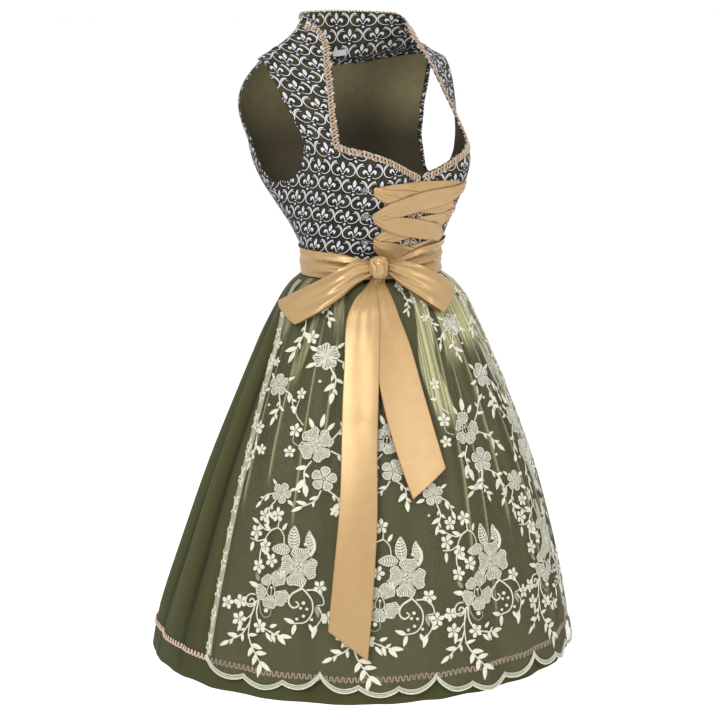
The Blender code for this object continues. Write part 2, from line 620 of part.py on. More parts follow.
def hook_outline(hole_radius, count=20):
    """Radii from the hook's hole: its inner edge, and an outer edge that is the loop's round on
    one side and a lobed flower on the other."""
    phi = np.linspace(0, 2 * math.pi, count, endpoint=False)
    loop, flower, reach = 0.0038, 0.0062, 0.0075
    across = reach * np.sin(phi)
    far = -reach * np.cos(phi) + np.sqrt(np.clip(flower**2 - across**2, 0, None))
    lobes = 1 + 0.08 * np.cos(5 * phi)
    far = np.where(np.abs(across) < flower, far, 0) * lobes
    return phi, np.full(count, hole_radius), np.maximum(loop, far)


def lace_hook(name, side, level, stand):
    """A flat flower-shaped hook with an eye for the ribbon, lying on the bodice."""
    phi, inner, outer = hook_outline(0.0020)
    radii = np.stack([inner, outer], 1)
    flat_x = -radii * np.cos(phi)[:, None] * -1
    flat_z = radii * np.sin(phi)[:, None]
    middle = torso(math.radians(HOOK_ANGLE), level)
    radius = np.hypot(middle[0], middle[1] - SKIRT_CENTRE)
    theta = math.radians(HOOK_ANGLE) - flat_x / radius
    grid = torso(theta, level + flat_z)
    normal = facing_out(grid)
    if side < 0:
        grid, normal = mirrored(grid), mirrored(normal)
    wall(name, "silver", grid, normal, stand + 0.0014, stand, ring=True)


def lacing():
    """Six hooks, the band across the top and four crossings laid over each other."""
    for side, word in ((-1, "right"), (1, "left")):
        for number, (level, stand) in enumerate(zip(HOOK_LEVELS, HOOK_STANDS), 1):
            lace_hook(f"lace_hook_{word}_{number}", side, level, stand)
    reach = HOOK_ANGLE - 1.0
    for number, (high, low) in enumerate(zip(HOOK_LEVELS[:-1], HOOK_LEVELS[1:]), 1):
        for letter, side, stand in (("a", -1, LACING_UNDER), ("b", 1, LACING_OVER)):
            stand = stand if number == 1 else LACING_UNDER + LACING_OVER - stand
            ribbon_over(f"lacing_cross_{number}{letter}", (side * reach, high - HOOK_SPREAD),
                        (-side * reach, low + HOOK_SPREAD), 0.026, stand)
    low = HOOK_LEVELS[-1] - HOOK_SPREAD
    for letter, side, stand in (("a", -1, 0.0049), ("b", 1, 0.0036)):
        ribbon_over(f"lacing_cross_3{letter}", (side * reach, low), (side * 4.0, -0.326), 0.022,
                    stand)
    top = HOOK_LEVELS[0] + HOOK_SPREAD
    ribbon_over("lacing_top", (-reach, top), (reach, top), 0.016, 0.0024)


# ---------------------------------------------------------------- skirt and apron
def hem_height(theta):
    """Height of the skirt's hem, a little lower at the back."""
    return HEM_FRONT + (HEM_BACK - HEM_FRONT) * (1 - np.cos(theta)) / 2


def skirt_angles(first, last):
    """The skirt's upright lines from one seam to the next, in radians."""
    count = round((last - first) / SKIRT_STEP)
    return np.radians(first + SKIRT_STEP * np.arange(count + 1))


def skirt_grid(theta):
    """Points of the skirt's outer face at its levels, with the hem as the last row."""
    levels = np.broadcast_to(np.array(SKIRT_LEVELS), (len(theta), len(SKIRT_LEVELS)))
    height = np.hstack([levels, hem_height(theta)[:, None]])
    turn = theta[:, None] + 0 * height
    return round_axis(turn, skirt_radius(turn, height), height)


def skirt_normals(theta, grid):
    """Normals that depend on the place alone, so that neighbouring panels share them."""
    tiny = 1e-3
    before, after = skirt_grid(theta - tiny), skirt_grid(theta + tiny)
    normal = np.cross(after - before, np.gradient(grid, axis=1))
    normal /= np.linalg.norm(normal, axis=-1, keepdims=True)
    outward = (normal[..., :2] * (grid[..., :2] - (0.0, SKIRT_CENTRE))).sum() > 0
    return normal if outward else -normal


def skirt():
    """The front and the back of the skirt, gathered at the waist, and the braid above the hem."""
    inset = np.radians(0.06)
    for name, first, last in (("skirt_front", -SKIRT_SEAM, SKIRT_SEAM),
                              ("skirt_back", SKIRT_SEAM, 360 - SKIRT_SEAM)):
        theta = skirt_angles(first, last)
        theta = np.where(theta > math.pi, theta - 2 * math.pi, theta)
        theta[0] += inset
        theta[-1] -= inset
        grid = skirt_grid(theta)
        wall(name, "skirt_satin", grid, skirt_normals(theta, grid), 0.0, -CLOTH)
    theta = skirt_angles(-180, 180 - SKIRT_STEP)
    grid = skirt_grid(theta)
    normal = skirt_normals(theta, grid)
    wall("braid_hem", "braid", grid[:, -3:-1], normal[:, -3:-1], LAID + BRAID_WALL, LAID, ring=True)


def scallop_hem(theta):
    """Height of the apron's scalloped hem: groups of three scallops under a shallow arch, with
    the highest notches between groups."""
    place = (np.degrees(theta) + APRON_HALF) / (3 * SCALLOP)
    arch = np.abs(np.sin(math.pi * place)) ** 0.6
    scallop = np.abs(np.sin(3 * math.pi * place)) ** 0.8
    return -0.922 - 0.022 * arch - 0.0175 * scallop


def apron():
    """The apron of embroidered net, gathered under the sash, with its scalloped hem."""
    run = np.linspace(-1, 1, round(2 * APRON_HALF / SKIRT_STEP) + 1)
    hem = scallop_hem(np.radians(run * APRON_HALF))
    levels = np.broadcast_to(np.array(APRON_LEVELS), (len(run), len(APRON_LEVELS)))
    height = np.hstack([levels, hem[:, None]])
    half = read(APRON_EDGE, APRON_EDGE_COLUMNS, "angle", height)
    theta = np.radians(run[:, None] * half)
    grid = round_axis(theta, apron_radius(theta, height), height)
    wall("apron", "lace", grid, facing_out(grid), 0.0, -APRON_WALL)


# ---------------------------------------------------------------- sash and bow
def sash():
    """The ribbon round the waist, over the bodice's lower edge and the tops of the gathers."""
    angle = np.arange(-180, 180, 7.5)
    top, bottom, stand = (read(SASH_EDGES, SASH_COLUMNS, name, angle)
                          for name in SASH_COLUMNS[1:])
    across = np.array([0.0, 0.4, 0.75, 1.0])[None, :]
    height = top[:, None] * (1 - across) + bottom[:, None] * across
    theta = np.radians(angle)[:, None] + 0 * height
    grid = torso(theta, height)
    normal = facing_out(grid)
    normal[0, :, 0] = 0.0
    grid = grid + normal * stand[:, None, None]
    wall("waist_sash", "ribbon", grid, normal, CLOTH, 0.0, ring=True)


def bow_loop(name, table):
    """A loop of the bow: out from the knot along the front layer, round the far fold and back
    along the layer behind it."""
    out = np.linspace(0, 1, 8)
    edges = [[read(table, LOOP_COLUMNS, f"{side}{key}", out) for key in ("_angle", "", "_radius")]
             for side in ("high", "low")]
    gap = read(table, LOOP_COLUMNS, "open", out)
    across = np.linspace(0, 1, 4)[None, :]
    angle, height, radius = (high[:, None] * (1 - across) + low[:, None] * across
                             for high, low in zip(*edges))
    reach = math.copysign(1.5, angle[-1, 0] - angle[0, 0])
    fold = [values[-1:] + step for values, step in ((angle, reach), (height, 0.0),
                                                    (radius, -gap[-1] / 2))]
    theta, height, radius = (np.concatenate([front, turn, back[::-1]]) for front, turn, back in
                             zip((np.radians(angle), height, radius),
                                 (np.radians(fold[0]), fold[1], fold[2]),
                                 (np.radians(angle), height, radius - gap[:, None])))
    grid = round_axis(theta, radius, height)
    along, over = np.gradient(grid, axis=0), np.gradient(grid, axis=1)
    normal = np.cross(along, over)
    normal /= np.linalg.norm(normal, axis=-1, keepdims=True)
    wall(name, "ribbon", grid, normal, RIBBON_WALL / 2, -RIBBON_WALL / 2)


def bow_tail(name, table, stand):
    """A tail of the bow, from behind the knot down over the apron to its slanting end."""
    marks = np.array([row[0] for row in table])
    run = np.sort(np.concatenate([marks, (marks[:-1] + marks[1:]) / 2]))
    left_angle, left, right_angle, right = (read(table, TAIL_COLUMNS, key, run)[:, None]
                                            for key in TAIL_COLUMNS[1:])
    across = np.linspace(0, 1, 4)[None, :]
    theta = np.radians(left_angle * (1 - across) + right_angle * across)
    height = left * (1 - across) + right * across
    grid = round_axis(theta, hip_radius(theta, height), height)
    wall(name, "ribbon", grid, facing_out(grid), stand + RIBBON_WALL, stand)


def bow_knot():
    """The knot: a rounded lump with upright gathers, in front of the sash."""
    rows, columns = 9, 14
    up = np.linspace(0, math.pi, rows)[1:-1, None]
    turn = np.linspace(0, 2 * math.pi, columns, endpoint=False)[None, :]
    ripple = 1 + 0.06 * np.cos(5 * turn)
    soft = 0.75
    wide = 0.0165 * np.sin(up) ** soft * ripple
    x = wide * np.sign(np.cos(turn)) * np.abs(np.cos(turn)) ** soft
    y = 0.0100 / 0.0165 * wide * np.sign(np.sin(turn)) * np.abs(np.sin(turn)) ** soft
    z = 0.0200 * np.sign(np.cos(up)) * np.abs(np.cos(up)) ** soft + 0 * turn
    ball = np.stack([x, y, z], -1).reshape(-1, 3)
    ball = np.vstack([ball, [(0, 0, 0.0200), (0, 0, -0.0200)]])
    ring = np.arange((rows - 2) * columns).reshape(rows - 2, columns)
    turned = np.roll(ring, -1, axis=1)
    quads = np.stack([ring[:-1], turned[:-1], turned[1:], ring[1:]], -1).reshape(-1, 4)
    top, bottom = len(ball) - 2, len(ball) - 1
    faces = quads.tolist()
    faces += [(top, int(b), int(a)) for a, b in zip(ring[0], turned[0])]
    faces += [(bottom, int(a), int(b)) for a, b in zip(ring[-1], turned[-1])]
    theta = math.radians(KNOT_ANGLE)
    spin = np.array([[math.cos(theta), -math.sin(theta), 0], [math.sin(theta), math.cos(theta), 0],
                     [0, 0, 1]])
    seat = torso(theta, -0.327)
    away = np.array([math.sin(theta), -math.cos(theta), 0.0])
    solid("bow_knot", "ribbon", ball @ spin.T + seat + away * (SASH_FRONT + 0.0142), faces)


def build():
    """Clears the scene and makes every piece."""
    for old in list(bpy.data.objects):
        bpy.data.objects.remove(old, do_unlink=True)
    bodice()
    collar()
    linings()
    neck_braid()
    collar_braid()
    front_zip()
    lacing()
    skirt()
    apron()
    sash()
    bow_loop("bow_loop_right", LOOP_RIGHT)
    bow_loop("bow_loop_left", LOOP_LEFT)
    bow_tail("bow_tail_long", TAIL_LONG, 0.0023)
    bow_tail("bow_tail_short", TAIL_SHORT, 0.0002)
    bow_knot()


build()
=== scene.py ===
"""A dirndl dress on its own worn form: the cloths, nets, threads, braids and hooks that are seen.

Metres, +Z up, the front facing -Y and the wearer's right at -X. Angles go round the body from the
centre front (0), negative on the wearer's right. Every cloth is a wall worked out on a grid, on
the same form as its solid, and carries its flat cut in metres as its UV map.
"""

import math
from functools import partialmethod, reduce

import bpy
import numpy as np
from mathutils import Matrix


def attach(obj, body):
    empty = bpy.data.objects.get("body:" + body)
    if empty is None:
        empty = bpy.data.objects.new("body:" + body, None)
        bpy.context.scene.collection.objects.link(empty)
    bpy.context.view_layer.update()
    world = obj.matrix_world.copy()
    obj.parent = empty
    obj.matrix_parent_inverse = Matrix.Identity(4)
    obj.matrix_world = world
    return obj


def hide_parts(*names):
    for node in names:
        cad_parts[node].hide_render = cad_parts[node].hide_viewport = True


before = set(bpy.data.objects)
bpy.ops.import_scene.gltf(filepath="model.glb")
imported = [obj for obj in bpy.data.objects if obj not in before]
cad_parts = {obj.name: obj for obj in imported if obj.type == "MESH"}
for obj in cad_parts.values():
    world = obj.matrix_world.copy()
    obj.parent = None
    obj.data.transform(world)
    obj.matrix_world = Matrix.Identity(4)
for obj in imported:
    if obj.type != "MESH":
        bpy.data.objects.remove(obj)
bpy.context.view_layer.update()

# ---------------- sizes shared with the solids
CLOTH = 0.0015
SEAM = 0.0003
LAID = 0.0006
LINING_WALL = 0.0010
COLLAR_WALL = 0.0025
BRAID_WIDTH = 0.012
WAIST = -0.345
CHEST = -0.130
SKIRT_SEAM = 101.25
SKIRT_CENTRE = -0.050
HEM_FRONT = -0.968
HEM_BACK = -0.979
SKIRT_FOLDS = 23
WAIST_GATHERS = 32
SCALLOP = 11.25
APRON_HALF = 7.5 * SCALLOP
APRON_TOP = -0.347
HOOK_ANGLE = 36.5
HOOK_LEVELS = (-0.200, -0.242, -0.284)
HOOK_SPREAD = 0.0075
LACING_UNDER = 0.0029
LACING_OVER = 0.0046
KNOT_ANGLE = -26.0
SASH_FRONT = 0.0085
NECK_POINT = 115.0
UP = (0.0, 0.0, 1.0)

# ---------------- sizes of the cloths alone
SOFT = 0.30         # how much of the solid's round folds the cloth keeps
BRAID_COLUMNS = 4   # a front's grid has this many columns under its braid
RIB = 0.0024        # how far apart a filling's dark lines lie on the flat places
OFF_NET = 0.0001    # how far a drawing lies off the net


# ---------------- curves and tables
def cell(xs, x):
    """Which gap between neighbours in xs each x lies in."""
    return np.clip(np.searchsorted(xs, x, side="right") - 1, 0, len(xs) - 2)


def cubic(t, gap, start, end, leave, arrive):
    """A cubic over a gap, as t goes from 0 to 1, with its slopes at the start and the end."""
    return ((1 + 2 * t) * (1 - t) ** 2 * start + t * t * (3 - 2 * t) * end
            + gap * (t * (1 - t) ** 2 * leave + t * t * (t - 1) * arrive))


def curve(xs, ys, x):
    """Monotone cubic through the points (xs, ys): each inner slope is the harmonic mean of its
    two neighbours' rises, or level where they change sign. It is held level past both ends."""
    step = np.diff(xs)
    rise = np.diff(ys) / step
    same = rise[:-1] * rise[1:] > 0
    near, far = 2 * step[1:] + step[:-1], step[1:] + 2 * step[:-1]
    mean = near / np.where(same, rise[:-1], 1.0) + far / np.where(same, rise[1:], 1.0)
    slope = np.concatenate([rise[:1], np.where(same, (near + far) / mean, 0.0), rise[-1:]])
    x = np.clip(x, xs[0], xs[-1])
    i = cell(xs, x)
    return cubic((x - xs[i]) / step[i], step[i], ys[i], ys[i + 1], slope[i], slope[i + 1])


class Table:
    """Rows of sizes, each column a smooth function of the first. Angles are in degrees, columns
    named in SHARES have no unit, and all else is written in millimetres and given in metres."""

    SHARES = ("rise", "run", "crown", "follow")

    def __init__(self, columns, *rows):
        self.names = columns.split()
        units = [1.0 if "angle" in name or name in self.SHARES else 0.001 for name in self.names]
        rows = np.array(rows) * units
        self.rows = rows[np.argsort(rows[:, 0])]

    def __call__(self, x):
        """All columns but the first, where the first is x."""
        found = [curve(self.rows[:, 0], column, x) for column in self.rows.T[1:]]
        return found if len(found) > 1 else found[0]


def around(angles, radii, theta):
    """Smooth curve through radii at the given angles, level at the centre front and back:
    a cubic between neighbours whose slopes are the weighted means of the rises beside them."""
    angles = np.array(angles, float)
    turn = np.degrees(np.abs(theta))
    gap = np.diff(angles).reshape((-1,) + (1,) * (radii.ndim - 1))
    rise = np.diff(radii, axis=0) / gap
    slope = np.zeros_like(radii)
    slope[1:-1] = (rise[:-1] * gap[1:] + rise[1:] * gap[:-1]) / (gap[1:] + gap[:-1])
    i = cell(angles, turn)
    step = angles[i + 1] - angles[i]
    ends = [np.take_along_axis(values, (i + k)[None], 0)[0] for values in (radii, slope)
            for k in (0, 1)]
    return cubic((turn - angles[i]) / step, step, *ends)


def bump(x, width):
    """A smooth bump: 1 at nought, falling as a bell curve of this width."""
    return np.exp(-(x / width) ** 2)


def fade(x, low, high):
    """0 at low, 1 at high, with a smooth start and end."""
    t = np.clip((x - low) / (high - low), 0.0, 1.0)
    return t * t * (3 - 2 * t)


def unit(vectors):
    """The same directions, one long."""
    return vectors / (np.linalg.norm(vectors, axis=-1, keepdims=True) + 1e-12)


def lengths(line):
    """The length along a line, or along each line of a grid's first axis, up to each point."""
    step = np.linalg.norm(np.diff(line, axis=0), axis=-1)
    return np.concatenate([np.zeros_like(step[:1]), np.cumsum(step, 0)])


def sample(values, run, at):
    """Points or directions that are known at lengths run, at other lengths."""
    return np.stack([np.interp(at, run, values[:, k]) for k in range(3)], -1)


def circle(count):
    """Angles evenly round a circle."""
    return np.linspace(0, 2 * math.pi, count, endpoint=False)


def boxy(wave, power):
    """A wave with its signs kept and its size raised to a power, which squares its corners."""
    return np.sign(wave) * np.abs(wave) ** power


def creases(u, v, table):
    """Height of creases: each row is a line from (u0, v0) to (u1, v1) with a width and a depth, in
    mm. Across it is a bell curve, and along it the crease dies away."""
    total = np.zeros(np.broadcast(u, v).shape)
    for u0, v0, u1, v1, width, depth in np.array(table) * 0.001:
        du, dv = u1 - u0, v1 - v0
        run = np.clip(((u - u0) * du + (v - v0) * dv) / (du * du + dv * dv), 0, 1)
        gap = np.hypot(u - u0 - run * du, v - v0 - run * dv)
        total = total + depth * bump(gap, width) * (1 - (2 * run - 1) ** 4)
    return total


def drape(theta, height, table):
    """Sum of long folds. Each row has its angle at the waist and at the hem, the height in mm
    where it starts and ends, its width in degrees and its depth in mm. Across it is a bell curve
    in angle, and it comes in and goes out smoothly."""
    turn = np.degrees(theta)
    down = (WAIST - height) / (WAIST - HEM_FRONT)
    total = np.zeros(np.broadcast(theta, height).shape)
    for top_angle, hem_angle, top, bottom, width, depth in table:
        top, bottom, depth = top * 0.001, bottom * 0.001, depth * 0.001
        gap = (turn - top_angle - (hem_angle - top_angle) * down + 180) % 360 - 180
        total = total + depth * bump(gap, width) * fade(height, top, top - 0.10) \
            * fade(height, bottom, bottom + 0.04)
    return total * (1 - 0.5 * fade(height, -0.78, -0.97))


# ---------------- the form's sizes
TORSO_ANGLES = (0, 35, 60, 90, 122, 180)
TORSO_RINGS = Table(
    "height centre front bust bust_side side blade back",
    (-345, -50, 98, 105, 112, 118, 109, 97), (-315, -50, 98, 105, 112, 118, 110, 97),
    (-280, -50, 108, 119, 122, 125, 124, 109), (-235, -50, 125, 141, 137, 139, 152, 130),
    (-195, -50, 136, 158, 150, 149, 177, 146), (-160, -50, 138, 164, 157, 154, 191, 154),
    (-130, -50, 130, 153, 154, 158, 197, 156))
TOP_LINE = Table(
    "angle x y z crown swell",
    (0, 60, 2, 66, 0.2, 0), (40, 95, 2, 66, 0.2, 0), (48, 107, 2, 46, 0.2, 0),
    (57, 122, 2, 32, 0.2, 0), (70, 149, 2, 15, 0.25, 6), (90, 180, 2, 0, 0.7, 14),
    (103, 160, 2, 10, 1, 30), (115, 141, 2, 19, 1.05, 34), (130, 114, 22, 12, 0.98, 24),
    (155, 62, 46, 0, 0.7, 8), (180, 0, 53, -6, 0.6, 4))
RIM_LINE = Table(
    "angle x y z",
    (115, 95, 2, 66), (130, 82, 24, 68), (155, 46, 43, 70), (180, 0, 49, 71))
FRONT_EDGES = Table(
    "rise inner_angle inner_level outer_angle outer_level",
    (0, 0.45, -345, 107, -345), (0.07, 0.45, -320, 107, -320), (0.14, 0.45, -295, 107, -295),
    (0.22, 0.5, -265, 107, -265), (0.31, 0.6, -225, 107, -232), (0.4, 1.1, -182, 107, -199),
    (0.45, 12, -168, 93, -190), (0.51, 25, -151, 83, -172), (0.57, 38, -139, 78.5, -145),
    (0.65, 53, -128, 77.2, -112), (0.74, 49.5, -98, 78.5, -82), (0.82, 44.5, -70, 80.5, -56),
    (0.89, 38, -45, 83, -34), (0.95, 30.5, -22, 86, -14), (1, 38, 0, 90, 0))
BACK_EDGES = Table(
    "rise outer_angle outer_level centre_level",
    (0, 107, -345, -345), (0.07, 107, -320, -320), (0.14, 107, -295, -295),
    (0.22, 107, -265, -266), (0.31, 107, -232, -235), (0.4, 107, -199, -205),
    (0.48, 111, -188, -175), (0.58, 115, -162, -140), (0.68, 117.5, -130, -105),
    (0.78, 117.5, -95, -70), (0.88, 114, -52, -38), (0.95, 107.5, -20, -15), (1, 90, 0, 0))
SKIRT_ANGLES = (0, 35, 60, 90, 130, 180)
SKIRT_RINGS = Table(
    "height front hip_front front_side side back_side back fold gather",
    (-978, 322, 330, 336, 352, 368, 378, 9.5, 0), (-914, 312, 320, 326, 340, 354, 362, 8.8, 0),
    (-787, 282, 290, 295, 302, 309, 316, 7.6, 0), (-660, 246, 253, 256, 260, 262, 264, 6.2, 0),
    (-540, 200, 207, 210, 213, 212, 210, 4.8, 0.3), (-460, 166, 173, 176, 178, 178, 174, 3.6, 0.8),
    (-400, 140, 147, 151, 154, 152, 148, 2.2, 1.6), (-380, 131, 138, 143, 146, 142, 137, 1.6, 2.2),
    (-362, 117, 124, 130, 135, 129, 123, 0.8, 2.4), (-345, 98, 105, 112, 118, 109, 97, 0, 0))
APRON_RINGS = Table(
    "height stand follow",
    (-978, 8, 1), (-900, 8, 0.95), (-787, 10, 0.8), (-660, 13, 0.6), (-540, 15, 0.45),
    (-430, 14, 0.5), (-385, 10, 0.8), (-362, 6.6, 1), (-347, 2, 1))
APRON_EDGE = Table(
    "height angle",
    (-980, 84.375), (-850, 85), (-600, 86.5), (-450, 90), (-347, 99))
SASH_EDGES = Table(
    "angle top bottom stand",
    (-180, -296, -344.5, 2.4), (-107, -301, -344.5, 2.4), (-60, -304, -344.5, 3),
    (-36, -316, -344, 6.6), (-26, -317, -344, 7), (-16, -315, -344, 7), (2, -301, -344, 7),
    (20, -292, -344, 7), (52, -288, -344.5, 3.4), (107, -291, -344.5, 2.4),
    (180, -296, -344.5, 2.4))
LOOP_RIGHT = Table(
    "run high_angle high high_radius low_angle low low_radius open",
    (0, -33.8, -314.5, 124.5, -33.8, -334.5, 124.5, 3),
    (0.18, -43.2, -311, 127, -44.6, -347.6, 133, 8.5),
    (0.4, -53.3, -320.8, 133.5, -53.6, -367.8, 158.5, 12),
    (0.62, -63.8, -336.1, 141, -62.5, -387.6, 175.5, 12),
    (0.82, -79, -358.2, 157, -69, -399.6, 181, 11), (1, -94, -381, 172, -75.5, -410.8, 185, 8))
LOOP_LEFT = Table(
    "run high_angle high high_radius low_angle low low_radius open",
    (0, -22.5, -313.5, 124.5, -22.5, -332.5, 124.5, 3),
    (0.15, -15, -313.1, 126.5, -15.4, -347, 132, 8.5), (0.4, -4, -318, 130, -6.5, -364, 147, 13),
    (0.7, 9, -331, 138, 0.5, -380.5, 163, 15), (1, 27, -356, 150, 8, -394.4, 168, 12))
TAIL_LONG = Table(
    "run left_angle left right_angle right",
    (0, -32.5, -335, -24.5, -335), (0.03, -36.5, -347, -29.5, -347),
    (0.06, -40.7, -358, -32, -356), (0.09, -45, -371.4, -31.4, -371),
    (0.14, -48.1, -403.2, -30.9, -393), (0.26, -47.1, -465.7, -31.7, -450),
    (0.38, -46.5, -525, -32.6, -515), (0.5, -45.7, -588.5, -33.4, -590),
    (0.63, -45.2, -660.8, -33.6, -675), (0.81, -45.9, -755.8, -34.8, -785),
    (1, -46.8, -853.1, -36.4, -895))
TAIL_SHORT = Table(
    "run left_angle left right_angle right",
    (0, -30, -335, -22.5, -335), (0.05, -31.5, -347, -24.5, -347), (0.1, -33, -360, -23.2, -360),
    (0.14, -33.6, -372, -21.8, -372), (0.21, -34, -395, -20, -392),
    (0.38, -33.5, -446.4, -15.5, -446.4), (0.6, -31, -512, -12.8, -512),
    (0.8, -27.5, -575, -10.6, -572), (1, -21.8, -661.7, -8.8, -621.7))


# ---------------- the body's form
def torso(theta, level):
    """A point of the bodice's outer face. Below the chest, level is the height and the point lies
    on a ring about the centre. Above it the ring's point rises to the shoulder line: x moves
    evenly, z rises evenly, and y closes in by a mix of a straight line and a round crown."""
    theta, level = np.broadcast_arrays(np.asarray(theta, float), np.asarray(level, float))
    low = np.minimum(level, CHEST)
    centre, *radii = TORSO_RINGS(low)
    radius = around(TORSO_ANGLES, np.stack(radii), theta)
    rise = np.clip((level - CHEST) / -CHEST, 0.0, 1.0)
    top_x, top_y, top_z, crown, swell = TOP_LINE(np.degrees(np.abs(theta)))
    close = (1 - crown) * (1 - rise) + crown * np.clip(1 - rise * rise, 0, 1) ** 0.4
    push = swell * np.sin(math.pi * rise)
    x = radius * np.sin(theta)
    y = centre - radius * np.cos(theta)
    x = x + (top_x * np.sign(theta) - x) * rise + push * np.sin(theta)
    y = top_y + (y - top_y) * close - push * np.cos(theta)
    return np.stack([x, y, low + (top_z - CHEST) * rise], -1)


def skirt_radius(theta, height, follow=1.0):
    """Radius of the skirt's outer face about its axis: its ring plus uneven soft folds, whose
    spacing and depth drift, and small gathers under the waist."""
    *radii, fold, gather = SKIRT_RINGS(height)
    drift = 0.9 * np.sin(3 * theta + 0.4) + 0.5 * np.sin(5 * theta + 2.0)
    fold = fold * np.cos(SKIRT_FOLDS * theta + drift) * (0.72 + 0.28 * np.sin(4 * theta + 1.0))
    gather = gather * np.cos(WAIST_GATHERS * theta + 0.8 * np.sin(4 * theta))
    return around(SKIRT_ANGLES, np.stack(radii), theta) + follow * (fold + gather)


def round_axis(theta, radius, height):
    """The point at this angle, radius and height about the skirt's axis."""
    return np.stack([radius * np.sin(theta), SKIRT_CENTRE - radius * np.cos(theta),
                     height + 0 * theta], -1)


def hip_radius(theta, height):
    """The round form that the bow lies on: just outside the apron's folds, and outside the sash
    above the waist."""
    low = np.minimum(height, APRON_TOP)
    *_, fold, gather = SKIRT_RINGS(low)
    below = skirt_radius(theta, low, 0.0) + fold + gather + APRON_RINGS(low)[0]
    side = torso(theta, np.maximum(height, WAIST))[..., :2] - (0.0, SKIRT_CENTRE)
    return np.maximum(below, np.hypot(side[..., 0], side[..., 1]) + SASH_FRONT) + LAID


